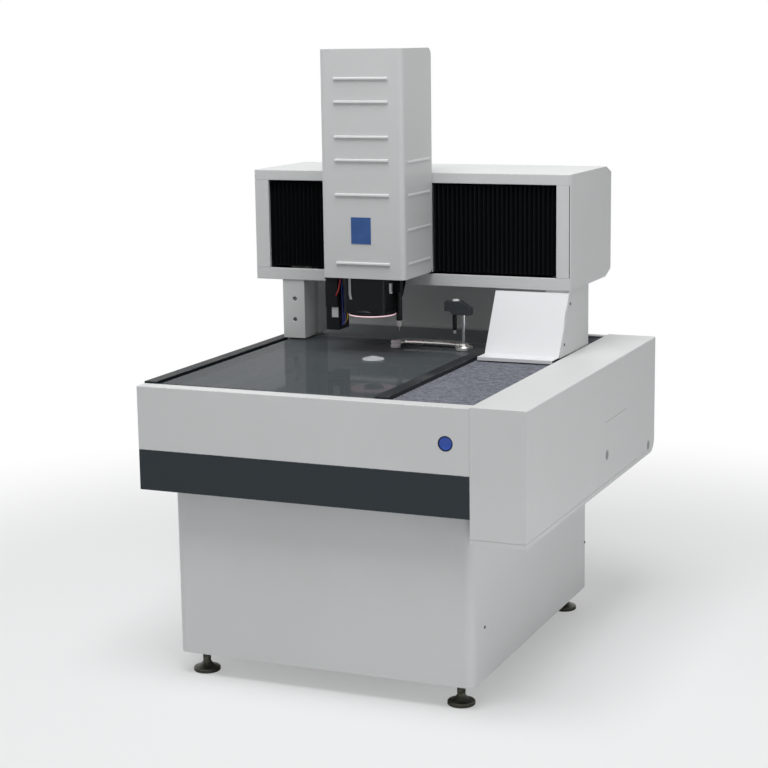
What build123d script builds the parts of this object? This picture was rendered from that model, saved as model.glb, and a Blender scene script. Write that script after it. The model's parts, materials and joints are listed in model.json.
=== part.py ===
"""Moving-bridge measuring machine: pedestal, granite table with a glass stage, travelling
bridge, cross carriage with its column, and the optics head that rises and falls in it.

Units are millimetres. +Z is up, the operator stands at -Y, and the origin is on the floor
under the middle of the whole machine. The machine is built as the photograph shows it:
bridge at the rear end of its travel, column a little left of the middle, optics raised.
"""

from build123d import *
import os

# Clearances
FIT = 0.3          # gap between two covers that meet
SLIDE = 0.5        # gap around a guide rail
SKIN = 3.0         # sheet thickness of the large covers

# Whole machine
HALF_WIDTH = 542.0
HALF_DEPTH = 580.0
TOP = 1600.0

# Right leg, which sets the seam, the bridge's right end and the right way
LEG_R_X1 = 398.5
LEG_R_X0 = LEG_R_X1 - 65.5
Y_RAIL_R = LEG_R_X1 - 88.5

# Table
TABLE_X0, SEAM_X = -494.0, LEG_R_X1 + 3.5
TABLE_Y1 = HALF_DEPTH - 11.0
BAND_Z1 = 609.0
FLANGE = 40.0      # depth of the front cover's top flange
FLANGE_REAR = 29.0
GRANITE_X0, GRANITE_X1 = TABLE_X0 + 10.0, SEAM_X - 12.0
GRANITE_Y = HALF_DEPTH - 24.0
WALL_Y = GRANITE_Y - 56.0     # inner face of the cross walls
POCKET_Z = 600.0
LEFT_WAY_X1 = TABLE_X0 + 64.0
RIGHT_WAY_X0 = Y_RAIL_R - 65.0

# Pedestal
PED_X0, PED_X1 = TABLE_X0 + 63.0, SEAM_X - 15.0
PED_Y0, PED_Y1 = -HALF_DEPTH + 61.0, HALF_DEPTH - 160.0
PED_Z0, PED_Z1 = 61.0, 504.0
PED_R = 24.0
PED_WALL = 4.0
FOOT_INSET = 52.0
FOOT_PAD_R = 35.0
FOOT_STEM_R = 11.0

# Glass stage
GLASS_Z1 = 775.0
GLASS_Z0 = GLASS_Z1 - 10.0
WALL_Z = GLASS_Z0 - 32.0      # top of the two granite cross walls
CARR_Z0 = GLASS_Z1 - 55.0     # underside of the bridge's two feet
CARR_Z1 = CARR_Z0 + 10.0
CARR_R_TOP = CARR_Z0 + 20.0
WAY_Z = CARR_Z0 - 40.0        # top of the two granite ways
COVER_Z1 = GLASS_Z1 - 2.0
RAIL_TOP = GLASS_Z1 + 3.0
STAGE_Y0 = -HALF_DEPTH + FLANGE
GLASS_Y1 = 288.0
STAGE_X0, STAGE_X1 = TABLE_X0 + 48.0, LEG_R_X1 - 256.5
STAGE_BAR = 30.0
RAIL_L_X0, RAIL_L_X1 = TABLE_X0, TABLE_X0 + 33.0
RAIL_R_X1 = STAGE_X1 + 34.0

# Side box
SIDE_Z0, SIDE_Z1 = 443.0, GLASS_Z1
SIDE_REAR_R = 40.0
PLUG_PLACES = ((87.0, SIDE_Z0 + 87.0), (TABLE_Y1 - 65.0, SIDE_Z0 + 27.0))

# Bridge
BR_X0, BR_X1 = TABLE_X0 - 48.0, LEG_R_X1 + 5.5
BR_Y0, BR_Y1 = 197.0, HALF_DEPTH
BR_Z0, BR_Z1 = GLASS_Z1 + 173.0, GLASS_Z1 + 487.0
BR_CHAMFER_Y, BR_CHAMFER_Z = 50.0, 18.0
OPEN_X0, OPEN_X1 = BR_X0 + 43.0, BR_X1 - 41.0
OPEN_Z0, OPEN_Z1 = BR_Z0 + 33.0, BR_Z1 - 29.0
BEAM_X0, BEAM_X1 = BR_X0 + 27.0, BR_X1 - 27.0
BEAM_Y0, BEAM_Y1 = BR_Y0 + 83.0, BR_Y1 - 60.0
BEAM_Z0, BEAM_Z1 = OPEN_Z0 + 9.0, OPEN_Z1 - 8.0
BEAM_WALL = 16.0
LEG_Y0, LEG_Y1 = BR_Y0 + 4.0, BR_Y0 + 179.0
LEG_L_X0, LEG_L_X1 = TABLE_X0 + 32.0, TABLE_X0 + 100.0
LEG_GAP = 4.0      # air between the left leg and the glass
BLADE_X0, BLADE_X1 = LEG_L_X0 + 5.0, LEG_L_X0 + 11.0

# Guide rails
RAIL_W, RAIL_H = 20.0, 18.0
BLOCK_W, BLOCK_H, BLOCK_L = 44.0, 24.0, 62.0
Y_RAIL_L = LEFT_WAY_X1 - 22.0
X_RAIL_LOW, X_RAIL_HIGH = OPEN_Z0 + 49.0, OPEN_Z1 - 47.0

# Lower beam and back light
LOW_Y0, LOW_Y1 = LEG_Y0 + 39.0, LEG_Y1 - 40.0
LOW_Z0, LOW_Z1 = CARR_Z0 - 65.0, CARR_Z0 - 5.0
LOW_X0, LOW_X1 = LEFT_WAY_X1 + 19.0, RIGHT_WAY_X0 - 19.0
LOW_RAIL_Z = (LOW_Z0 + LOW_Z1) / 2
LAMP_Z = GLASS_Z0 - 23.0       # seat of the condenser lens

# Column and optics
COL_X0, COL_X1 = -235.0, 6.0
COL_Y0, COL_Y1 = BR_Y0 - 208.0, BR_Y0 - 3.0
COL_Z0, COL_Z1 = BR_Z0 + 40.0, TOP
COL_FRONT_R = 14.0
COL_REAR_R = 22.0
AXIS_X, AXIS_Y = COL_X0 + 104.0, COL_Y0 + 96.0
LOUVRE_LEN = 157.0
LOUVRE_H = 14.0
LOUVRE_OUT = 6.0
LOUVRE_SKIN = 1.6
LOUVRE_FIELD = 612.0     # cover height for which the rows below are given
FRONT_ROWS = (533.0, 471.5, 379.0, 317.0, 224.5, 40.0)
SIDE_ROWS = (313.0, 224.0, 131.0, 40.0)
BADGE_W, BADGE_H = 58.0, 72.0
PLATE_Y0, PLATE_Y1 = COL_Y1 - 26.0, COL_Y1 - 12.0     # column back plate
Z_RAILS = (COL_X0 + 55.0, COL_X1 - 56.0)
SLIDE_Y0, SLIDE_Y1 = PLATE_Y0 - 50.0, PLATE_Y0 - 38.0     # optics slide plate
RING_R = 66.0
RING_Z = COL_Z0 - 122.0
HOUSE_Z0, HOUSE_Z1 = RING_Z + 22.0, RING_Z + 149.0

# Touch probe
PROBE_X, PROBE_Y, PROBE_Z = AXIS_X + 76.0, AXIS_Y + 20.0, RING_Z - 5.0
STYLUS_R = 5.5
STYLUS_TIP = PROBE_Z - 28.0
STYLUS_TRAVEL = 2.5

# Side module and its wires
MODULE_X0, MODULE_X1 = COL_X0 - 23.0, COL_X0 + 23.0
MODULE_Y0, MODULE_Y1 = COL_Y0 + 51.0, COL_Y0 + 121.0
MODULE_Z0, MODULE_Z1 = COL_Z0 - 152.0, COL_Z0 - 3.0
PLUG_X = MODULE_X1 + 4.0
WIRE_X, WIRE_Z, WIRE_R = PLUG_X + 7.0, MODULE_Z0 + 14.0, 1.3

# Pleats
BELLOWS_PITCH = 13.0
BELLOWS_Y0, BELLOWS_Y1 = BR_Y0 + 7.0, BR_Y0 + 25.0
FABRIC_PITCH = 30.0
FABRIC_TOP = GLASS_Z1 - 6.0

# Document holder
HOLDER_X0 = RAIL_R_X1 + 11.0
HOLDER_Y0, HOLDER_BEND = LEG_Y0 - 109.0, LEG_Y0 - 82.5
HOLDER_Z0, HOLDER_Z1 = GLASS_Z1 + 10.0, GLASS_Z1 + 170.0

# Front button and clamp
BUTTON_X, BUTTON_Z, BUTTON_R = SEAM_X - 61.0, BAND_Z1 + 75.0, 16.5
POST_X, POST_Y, POST_R = STAGE_X1 - 38.0, 176.0, 5.0
PLUNGER_X, PLUNGER_R = POST_X - 27.0, 6.0
PLUNGER_TIP, PLUNGER_TOP = GLASS_Z1 + 45.0, GLASS_Z1 + 110.0
ARM_Z0, ARM_Z1 = GLASS_Z1 + 98.0, GLASS_Z1 + 136.0


def slab(x0, x1, y0, y1, z0, z1):
    """A block between the given limits."""
    middle = Pos((x0 + x1) / 2, (y0 + y1) / 2, (z0 + z1) / 2)
    return middle * Box(x1 - x0, y1 - y0, z1 - z0)


def prism_x(points, x0, x1):
    """A (y, z) outline carried along X."""
    face = Plane.YZ.offset(x0) * make_face(Polyline(*points, close=True))
    return extrude(face, amount=x1 - x0, dir=(1, 0, 0))


def prism_y(points, y0, y1):
    """An (x, z) outline carried along Y."""
    plane = Plane(origin=(0, y0, 0), x_dir=(1, 0, 0), z_dir=(0, -1, 0))
    face = plane * make_face(Polyline(*points, close=True))
    return extrude(face, amount=y1 - y0, dir=(0, 1, 0))


def prism_z(points, z0, z1):
    """An (x, y) outline carried along Z."""
    face = Plane.XY.offset(z0) * make_face(Polyline(*points, close=True))
    return extrude(face, amount=z1 - z0, dir=(0, 0, 1))


def rod_x(y, z, r, x0, x1):
    """A round bar along X."""
    return Pos((x0 + x1) / 2, y, z) * Rot(0, 90, 0) * Cylinder(r, x1 - x0)


def rod_y(x, z, r, y0, y1):
    """A round bar along Y."""
    return Pos(x, (y0 + y1) / 2, z) * Rot(90, 0, 0) * Cylinder(r, y1 - y0)


def rod_z(x, y, r, z0, z1):
    """A round bar along Z."""
    return Pos(x, y, (z0 + z1) / 2) * Cylinder(r, z1 - z0)


def turned(points, x, y):
    """A half outline of (radius, z) points turned about a vertical axis."""
    face = Plane.XZ * make_face(Polyline(*points, close=True))
    return Pos(x, y, 0) * revolve(face, axis=Axis.Z)


def group(shapes):
    """Separate solids kept apart under one name."""
    return Compound(children=[s.solid() if hasattr(s, "solid") else s for s in shapes])


def zigzag(start, end, pitch, low, high, thick):
    """Closed outline of a pleated sheet: (along, across) points, whole pleats only."""
    count = round((end - start) / pitch)
    step = (end - start) / (2 * count)
    front = []
    back = []
    for i in range(2 * count + 1):
        across = low if i % 2 else high - thick
        front.append((start + i * step, across))
        back.append((start + i * step, across + thick))
    return front + back[::-1]


def rail_outline(centre, base, height, width):
    """Outline of a profiled guide rail standing on base: (across, up) points."""
    half = width / 2
    waist = half - 3.0
    sign = 1 if height > 0 else -1
    tall = abs(height)
    levels = ((half, 0), (half, 0.25), (waist, 0.42), (waist, 0.6), (half, 0.78), (half, 1.0))
    right = [(centre + w, base + sign * tall * h) for w, h in levels]
    left = [(centre - w, base + sign * tall * h) for w, h in levels]
    return right + left[::-1]


def pedestal():
    """Folded sheet cabinet, open in the middle of its top, with a window at the rear."""
    width = PED_X1 - PED_X0
    depth = PED_Y1 - PED_Y0
    centre = Pos((PED_X0 + PED_X1) / 2, (PED_Y0 + PED_Y1) / 2, 0)
    outer = extrude(RectangleRounded(width, depth, PED_R), PED_Z1 - PED_Z0)
    inner_w = width - 2 * PED_WALL
    inner_d = depth - 2 * PED_WALL
    hollow = extrude(RectangleRounded(inner_w, inner_d, PED_R - PED_WALL), PED_Z1 - PED_Z0 - 11)
    well = extrude(Rectangle(width - 160, depth - 160), 40)
    body = centre * (Pos(0, 0, PED_Z0) * outer - Pos(0, 0, PED_Z0 + 6) * hollow)
    body = body - centre * Pos(0, 0, PED_Z1 - 20) * well
    body = body - slab(PED_X0 + 131, PED_X1 - 127, PED_Y1 - 20, PED_Y1 + 5, PED_Z0 + 54, PED_Z1 - 69)
    for x, y in foot_points():
        body = body - rod_z(x, y, FOOT_STEM_R + SLIDE, PED_Z0 - 5, PED_Z0 + 12)
    return body


def foot_points():
    """Centres of the four levelling feet."""
    xs = (PED_X0 + FOOT_INSET, PED_X1 - FOOT_INSET)
    ys = (PED_Y0 + FOOT_INSET, PED_Y1 - FOOT_INSET)
    return [(x, y) for x in xs for y in ys]


def feet():
    """Round pads with a swivel neck and a threaded stem, each with its lock nut."""
    pad = [(0, 0), (FOOT_PAD_R, 0), (FOOT_PAD_R, 10)]
    neck = [(FOOT_STEM_R, 22), (FOOT_STEM_R, PED_Z0 + 45), (0, PED_Z0 + 45)]
    made = []
    for x, y in foot_points():
        stem = turned(pad + neck, x, y)
        nut = extrude(Pos(x, y, PED_Z0 - 14) * RegularPolygon(20, 6), 14)
        made.append(stem + nut)
    return group(made)


def access_panel():
    """Rear service panel with two banks of pressed vents."""
    x0, x1 = PED_X0 + 106, PED_X1 - 102
    panel = slab(x0, x1, PED_Y1, PED_Y1 + 2, PED_Z0 + 29, PED_Z1 - 44)
    for bank in (x0 + 145, x1 - 145):
        for i in range(6):
            z = PED_Z0 + 119 + 36 * i
            panel = panel - slab(bank - 70, bank + 70, PED_Y1 - 1, PED_Y1 + 3, z, z + 5)
            hood = [(PED_Y1 + 2, z + 12), (PED_Y1 + 7, z + 2), (PED_Y1 + 7, z), (PED_Y1 + 2, z + 8)]
            panel = panel + prism_x(hood, bank - 70, bank + 70)
    return panel


def panel_screws():
    """Pan-head screws: four on the service panel, two on the pedestal's right face."""
    heads = []
    x0, x1 = PED_X0 + 121, PED_X1 - 117
    for x in (x0, x1):
        for z in (PED_Z0 + 41, PED_Z1 - 56):
            heads.append(rod_y(x, z, 5, PED_Y1 + 2, PED_Y1 + 5))
    for y in (PED_Y0 + 79, PED_Y1 - 25):
        heads.append(rod_x(y, PED_Z0 + 135, 4, PED_X1, PED_X1 + 2))
    return group(heads)


def table_tray():
    """Dark lower pan of the table: floor with a front, a left and a rear wall."""
    x0, x1 = TABLE_X0, SEAM_X - FIT
    y0, y1 = -HALF_DEPTH, TABLE_Y1
    floor = slab(x0, x1, y0, y1, PED_Z1, PED_Z1 + SKIN)
    front = slab(x0, x1, y0, y0 + SKIN, PED_Z1, BAND_Z1)
    left = slab(x0, x0 + SKIN, y0, y1, PED_Z1, BAND_Z1)
    rear = slab(x0, x1, y1 - SKIN, y1, PED_Z1, BAND_Z1)
    tray = floor + front + left + rear
    return tray - slab(-200, 160, -250, 150, PED_Z1 - 1, PED_Z1 + SKIN + 1)


def front_cover():
    """Painted front sheet, folded back on top and turned down behind the fold."""
    y0 = -HALF_DEPTH
    z1 = COVER_Z1
    back = y0 + FLANGE
    profile = [
        (y0, BAND_Z1), (y0, z1 - 1.5), (y0 + 1.5, z1), (back, z1), (back, GLASS_Z0 - 6),
        (back - SKIN, GLASS_Z0 - 6), (back - SKIN, z1 - SKIN), (y0 + SKIN, z1 - SKIN),
        (y0 + SKIN, BAND_Z1),
    ]
    cover = prism_x(profile, TABLE_X0, SEAM_X - FIT)
    return cover - rod_y(BUTTON_X, BUTTON_Z, BUTTON_R + 2.4, y0 - 1, y0 + SKIN + 1)


def left_cover():
    """Painted left sheet between the front and rear covers."""
    y0 = -HALF_DEPTH + SKIN + FIT
    y1 = TABLE_Y1 - SKIN - FIT
    wall = slab(TABLE_X0, TABLE_X0 + SKIN, y0, y1, BAND_Z1, GLASS_Z0)
    lip = slab(TABLE_X0 + SKIN, GRANITE_X0, STAGE_Y0 + 5, y1, BAND_Z1, BAND_Z1 + SKIN)
    hem = slab(TABLE_X0 - 1, GRANITE_X0, y0 - 1, STAGE_Y0 + FIT, GLASS_Z0 - 6 - FIT, GLASS_Z0 + 1)
    return wall + lip - hem


def rear_cover():
    """Painted rear sheet with a folded top and a cable cut-out."""
    y1 = TABLE_Y1
    z1 = COVER_Z1
    back = y1 - FLANGE_REAR
    profile = [
        (y1, BAND_Z1), (y1, z1 - 1.5), (y1 - 1.5, z1), (back, z1), (back, z1 - SKIN),
        (y1 - SKIN, z1 - SKIN), (y1 - SKIN, BAND_Z1),
    ]
    cover = prism_x(profile, TABLE_X0, SEAM_X - FIT)
    return cover - slab(SEAM_X - 172, SEAM_X - 72, y1 - SKIN - 1, y1 + 1, BAND_Z1 + 31, BAND_Z1 + 81)


def side_box():
    """Long box along the right side: shell, hem line, pressed line and two plug holes."""
    x0, x1 = SEAM_X, HALF_WIDTH
    y0, y1 = -HALF_DEPTH, TABLE_Y1
    outer = slab(x0, x1, y0, y1, SIDE_Z0, SIDE_Z1)
    corner = outer.edges().filter_by(Axis.X).sort_by_distance((0, y1, SIDE_Z0))[0]
    outer = fillet(corner, SIDE_REAR_R)
    top_out = outer.edges().filter_by(Axis.Y).sort_by_distance((x1, 0, SIDE_Z1))[0]
    outer = fillet(top_out, 4)
    inner = slab(x0 + SKIN, x1 - SKIN, y0 + SKIN, y1 - SKIN, SIDE_Z0 + SKIN, SIDE_Z1 - SKIN)
    low = inner.edges().filter_by(Axis.X).sort_by_distance((0, y1, SIDE_Z0))[0]
    inner = fillet(low, SIDE_REAR_R - SKIN)
    box = outer - inner
    box = box - slab(x0 - 1, x0 + SKIN + 1, y0 + SKIN, y1 - SKIN, PED_Z1 + 6, SIDE_Z1 - 75)
    hem = SIDE_Z0 + 12
    box = box - slab(x1 - 1, x1 + 1, y0 - 1, y1 - SIDE_REAR_R, hem, hem + 1.6)
    box = box - slab(x0 - 1, x1 + 1, y0 - 1, y0 + 1, hem, hem + 1.6)
    box = box - slab(x1 - 1.2, x1 + 1, 66, 278, SIDE_Z0 + 177, SIDE_Z0 + 179.5)
    for y, z in PLUG_PLACES:
        box = box - rod_x(y, z, 14, x1 - SKIN - 1, x1 + 1)
    return box


def side_box_plugs():
    """Black plugs closing the two fixing holes of the side box."""
    made = []
    for y, z in PLUG_PLACES:
        plug = rod_x(y, z, 13.7, HALF_WIDTH - 7, HALF_WIDTH)
        dish = rod_x(y, z, 9, HALF_WIDTH - 1.5, HALF_WIDTH + 1)
        made.append(plug - dish)
    return group(made)


def granite_base():
    """Granite block with a central pocket, two lower ways and two cross walls."""
    block = slab(GRANITE_X0, GRANITE_X1, -GRANITE_Y, GRANITE_Y, PED_Z1 + SKIN, WALL_Z)
    block = block - slab(LEFT_WAY_X1, RIGHT_WAY_X0, -WALL_Y, WALL_Y, POCKET_Z, WALL_Z + 1)
    block = block - slab(GRANITE_X0 - 1, LEFT_WAY_X1, -WALL_Y, WALL_Y, WAY_Z, WALL_Z + 1)
    return block - slab(RIGHT_WAY_X0, GRANITE_X1 + 1, -WALL_Y, WALL_Y, WAY_Z, WALL_Z + 1)


def y_guide_rails():
    """The two profiled rails that carry the bridge along the granite ways."""
    made = []
    for x in (Y_RAIL_L, Y_RAIL_R):
        outline = rail_outline(x, WAY_Z, RAIL_H, RAIL_W)
        made.append(prism_y(outline, 5 - WALL_Y, WALL_Y - 5))
    return group(made)


def y_magnet_track():
    """Magnet track of the linear motor beside the right rail."""
    x0, x1 = Y_RAIL_R + 34, Y_RAIL_R + 72
    base = slab(x0, x1, 5 - WALL_Y, WALL_Y - 5, WAY_Z, WAY_Z + 6)
    count = int((2 * WALL_Y - 60) // 52) + 1
    for i in range(count):
        y = 10 - WALL_Y + 52 * i
        base = base + slab(x0 + 4, x1 - 4, y, y + 40, WAY_Z + 6, WAY_Z + 10)
    return base


def stage_frame():
    """Black bars that bridge the granite walls and carry the glass on a ledge."""
    y1 = GRANITE_Y
    frame = slab(STAGE_X0, STAGE_X1, STAGE_Y0, y1, WALL_Z, GLASS_Z0)
    x0, x1 = STAGE_X0 + STAGE_BAR, STAGE_X1 - STAGE_BAR
    frame = frame - slab(x0, x1, STAGE_Y0 + STAGE_BAR, GLASS_Y1 - STAGE_BAR, WALL_Z - 1, GLASS_Z0 + 1)
    return frame - slab(x0, x1, GLASS_Y1 + 4, WALL_Y + 10, WALL_Z - 1, GLASS_Z0 + 1)


def stage_glass():
    """Ten millimetre glass plate with a ground edge."""
    plate = slab(STAGE_X0, STAGE_X1 - FIT, STAGE_Y0 + FIT, GLASS_Y1 - FIT, GLASS_Z0, GLASS_Z1)
    return chamfer(plate.faces().sort_by(Axis.Z)[-1].edges(), 1.0)


def stage_rails():
    """Black edge rails either side of the glass."""
    y0, y1 = STAGE_Y0 + FIT, TABLE_Y1 - FLANGE_REAR - FIT
    right = [
        (STAGE_X1, WALL_Z), (RAIL_R_X1, WALL_Z), (RAIL_R_X1, RAIL_TOP - 1),
        (RAIL_R_X1 - 1, RAIL_TOP), (STAGE_X1 + 1, RAIL_TOP), (STAGE_X1, RAIL_TOP - 1),
    ]
    web0, web1 = RAIL_L_X0 + SKIN + FIT, RAIL_L_X0 + 13
    left = [
        (web0, WALL_Z), (web1, WALL_Z), (web1, GLASS_Z0), (RAIL_L_X1, GLASS_Z0),
        (RAIL_L_X1, RAIL_TOP - 1), (RAIL_L_X1 - 1, RAIL_TOP), (RAIL_L_X0 + 1, RAIL_TOP),
        (RAIL_L_X0, RAIL_TOP - 1), (RAIL_L_X0, GLASS_Z0), (web0, GLASS_Z0),
    ]
    return prism_y(left, y0, y1), prism_y(right, y0, y1)


def rear_deck():
    """Black deck sheet behind the glass."""
    y1 = TABLE_Y1 - FLANGE_REAR - FIT
    plate = slab(STAGE_X0, STAGE_X1 - FIT, GLASS_Y1 + FIT, y1, GLASS_Z0, GLASS_Z1 - 4)
    return plate


def rear_guard():
    """Upright sheet across the rear of the table, under the beam."""
    y1 = TABLE_Y1 - 9
    z0, z1 = COVER_Z1, BR_Z0 - 5
    profile = [
        (y1 - 18, z0), (y1, z0), (y1, z1), (y1 - 14, z1), (y1 - 14, z1 - 2), (y1 - 2, z1 - 2),
        (y1 - 2, z0 + 2), (y1 - 18, z0 + 2),
    ]
    return prism_x(profile, TABLE_X0 + 2, LEG_R_X0 + 7)


def button_bezel():
    """Ring in the front cover with the switch body behind it."""
    y0 = -HALF_DEPTH
    ring = rod_y(BUTTON_X, BUTTON_Z, BUTTON_R + 2.1, y0, y0 + SKIN + 1)
    nut = rod_y(BUTTON_X, BUTTON_Z, BUTTON_R + 5, y0 + SKIN, y0 + SKIN + 5)
    body = rod_y(BUTTON_X, BUTTON_Z, BUTTON_R + 1.5, y0 + SKIN + 5, y0 + 23)
    bore = rod_y(BUTTON_X, BUTTON_Z, BUTTON_R + FIT, y0 - 1, y0 + 18)
    return ring + nut + body - bore


def front_button():
    """Round push button with a shallow dished face."""
    y0 = -HALF_DEPTH + 0.5
    cap = rod_y(BUTTON_X, BUTTON_Z, BUTTON_R, y0, y0 + 13)
    cap = chamfer(cap.faces().sort_by(Axis.Y)[0].edges(), 1.0)
    return cap - rod_y(BUTTON_X, BUTTON_Z, BUTTON_R - 4, y0 - 1, y0 + 0.8)


def fixture_base():
    """Polished clamp base: curved flat arm between a round foot and the post's boss."""
    start, end = (-94.0, 160.0), (POST_X, POST_Y)
    middle = (8.0, 214.0)
    path = ThreePointArc(start, middle, end)
    arm = extrude(Pos(0, 0, GLASS_Z1) * trace(path, 22), 9)
    foot_outline = [
        (0, GLASS_Z1), (14, GLASS_Z1), (15, GLASS_Z1 + 2), (15, GLASS_Z1 + 17),
        (13, GLASS_Z1 + 20), (0, GLASS_Z1 + 20),
    ]
    boss_outline = [
        (0, GLASS_Z1), (25, GLASS_Z1), (25, GLASS_Z1 + 10), (23, GLASS_Z1 + 12),
        (12, GLASS_Z1 + 13), (11, GLASS_Z1 + 18), (0, GLASS_Z1 + 18),
    ]
    body = arm + turned(foot_outline, *start) + turned(boss_outline, *end)
    return body - rod_z(POST_X, POST_Y, POST_R, GLASS_Z1 + 6, GLASS_Z1 + 20)


def fixture_post():
    """Chrome post pressed into the clamp base."""
    tip = ARM_Z1 + 4
    outline = [
        (0, GLASS_Z1 + 6), (POST_R, GLASS_Z1 + 6), (POST_R, tip - 1.5), (POST_R - 1.5, tip),
        (0, tip),
    ]
    return turned(outline, POST_X, POST_Y)


def clamp_arm():
    """Black moulded arm: hub round the post, hub round the plunger, knob on the left."""
    def hub(x, r, z0, z1):
        outline = [(0, z0), (r, z0), (r, z1 - 3), (r - 3, z1), (0, z1)]
        return turned(outline, x, POST_Y)

    side = [
        (PLUNGER_X, ARM_Z0 + 4), (POST_X + 12, ARM_Z0 + 1), (POST_X + 22, ARM_Z0 + 4),
        (POST_X + 22, ARM_Z0 + 17), (POST_X, ARM_Z1 - 11), (PLUNGER_X, ARM_Z1 - 3),
    ]
    web = prism_y(side, POST_Y - 10, POST_Y + 10)
    web = fillet(web.edges().filter_by(Axis.Z), 5)
    knob_x = PLUNGER_X - 20
    knob_z = ARM_Z1 - 15
    knob = rod_x(POST_Y, knob_z, 14, knob_x, knob_x + 6)
    stalk = rod_x(POST_Y, knob_z, 6, knob_x + 5, PLUNGER_X)
    body = web + hub(POST_X, 13, ARM_Z0 - 2, ARM_Z1 - 6) + hub(PLUNGER_X, 12, ARM_Z0 - 2, ARM_Z1)
    body = body + knob + stalk
    body = body - rod_z(POST_X, POST_Y, POST_R + 0.08, ARM_Z0 - 10, ARM_Z1 + 10)
    return body - rod_z(PLUNGER_X, POST_Y, PLUNGER_R + 0.08, ARM_Z0 - 10, ARM_Z1 - 8)


def clamp_plunger():
    """Spring plunger with its rounded hold-down tip."""
    z0 = PLUNGER_TIP
    outline = [
        (0, z0), (3, z0), (4.5, z0 + 1.5), (4.5, z0 + 12), (PLUNGER_R, z0 + 12),
        (PLUNGER_R, PLUNGER_TOP), (0, PLUNGER_TOP),
    ]
    return turned(outline, PLUNGER_X, POST_Y)


def bearing(centre, base, flip):
    """U of a guide block: outline round a rail that stands on base, flip giving its sense."""
    half = BLOCK_W / 2
    inner = RAIL_W / 2 + SLIDE
    low = base + flip * 5
    high = base + flip * (5 + BLOCK_H - 1)
    roof = base + flip * (RAIL_H + SLIDE)
    return [
        (centre - half, low), (centre - inner, low), (centre - inner, roof),
        (centre + inner, roof), (centre + inner, low), (centre + half, low),
        (centre + half, high), (centre - half, high),
    ]


def y_bearing_blocks():
    """Four guide blocks under the bridge's two feet."""
    made = []
    for x in (Y_RAIL_L, Y_RAIL_R):
        high = CARR_Z0
        half = BLOCK_W / 2 if x > 0 else 24.0
        inner = RAIL_W / 2 + SLIDE
        roof = WAY_Z + RAIL_H + SLIDE
        low = WAY_Z + 5
        outline = [
            (x - half, low), (x - inner, low), (x - inner, roof), (x + inner, roof),
            (x + inner, low), (x + half - 4, low), (x + half - 4, high), (x - half, high),
        ]
        for y in (LEG_Y0 + 6, LEG_Y1 - 6 - BLOCK_L):
            made.append(prism_y(outline, y, y + BLOCK_L))
    return group(made)


def y_carriage_right():
    """Right foot of the bridge: plate over the blocks, motor coil and a flange for the beam."""
    plate = slab(LOW_X1, GRANITE_X1 - 5, LEG_Y0, LEG_Y1, CARR_Z0, CARR_R_TOP)
    flange = slab(LOW_X1, LOW_X1 + 14, LEG_Y0 + 10, LEG_Y1 - 10, LOW_Z0, CARR_Z0)
    coil = slab(Y_RAIL_R + 39, Y_RAIL_R + 67, LEG_Y0 + 20, LEG_Y1 - 20, WAY_Z + 12, CARR_Z0)
    return plate + flange + coil


def y_carriage_left():
    """Left foot of the bridge: thin plate under the glass and a flange for the beam."""
    plate = slab(GRANITE_X0 + 6, LOW_X0, LEG_Y0, LEG_Y1, CARR_Z0, CARR_Z1)
    flange = slab(LOW_X0 - 14, LOW_X0, LEG_Y0 + 10, LEG_Y1 - 10, LOW_Z0, CARR_Z0)
    return plate + flange


def lower_beam():
    """Hollow beam that joins the two feet under the glass."""
    beam = slab(LOW_X0, LOW_X1, LOW_Y0, LOW_Y1, LOW_Z0, LOW_Z1)
    wall = 7.0
    core = slab(LOW_X0 + 14, LOW_X1 - 14, LOW_Y0 + wall, LOW_Y1 - wall, LOW_Z0 + wall, LOW_Z1 - wall)
    return beam - core


def leg_head_room(x0, x1):
    """Room before a leg's head for the bellows and the lower strip."""
    return slab(x0 - 1, x1 + 1, LEG_Y0 - 1, BEAM_Y0 - 18, BR_Z0 + SKIN, BEAM_Z0 + 1)


def left_leg():
    """Machined left leg with a stepped inner face and a blade through the deck slot."""
    y0 = LEG_Y0
    outline = [
        (LEG_L_X0, y0), (LEG_L_X1, y0), (LEG_L_X1, y0 + 40), (LEG_L_X1 - 3, y0 + 40),
        (LEG_L_X1 - 3, y0 + 74), (LEG_L_X1 - 16, y0 + 74), (LEG_L_X1 - 16, y0 + 105),
        (LEG_L_X1 - 3, y0 + 105), (LEG_L_X1 - 3, y0 + 148), (LEG_L_X1 - 11, y0 + 148),
        (LEG_L_X1 - 11, LEG_Y1), (LEG_L_X0, LEG_Y1),
    ]
    foot = GLASS_Z1 + LEG_GAP
    leg = prism_z(outline, foot, BEAM_Z0)
    leg = leg + slab(BLADE_X0, BLADE_X1, LEG_Y0 + 14, LEG_Y1 - 14, CARR_Z1, foot)
    leg = leg - leg_head_room(LEG_L_X0, LEG_L_X1)
    for z in (GLASS_Z1 + 118, GLASS_Z1 + 58):
        leg = leg - rod_y(LEG_L_X0 + 37, z, 6.5, y0 - 1, y0 + 18)
        leg = leg - rod_y(LEG_L_X0 + 37, z, 4, y0 + 16, y0 + 40)
    return leg


def right_leg():
    """Right leg with the plate that carries the ends of the fabric way covers."""
    leg = slab(LEG_R_X0, LEG_R_X1, LEG_Y0, LEG_Y1, CARR_R_TOP, BEAM_Z0)
    tray = slab(RAIL_R_X1 + 2, LEG_R_X1, LEG_Y0, LEG_Y1, FABRIC_TOP - 17, FABRIC_TOP - 2)
    leg = leg + tray - leg_head_room(LEG_R_X0, LEG_R_X1)
    return leg - slab(LEG_R_X0 + 12, LEG_R_X1 - 12, LEG_Y0 + 40, LEG_Y1 + 1, CARR_R_TOP + 60, BEAM_Z0 - 60)


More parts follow.
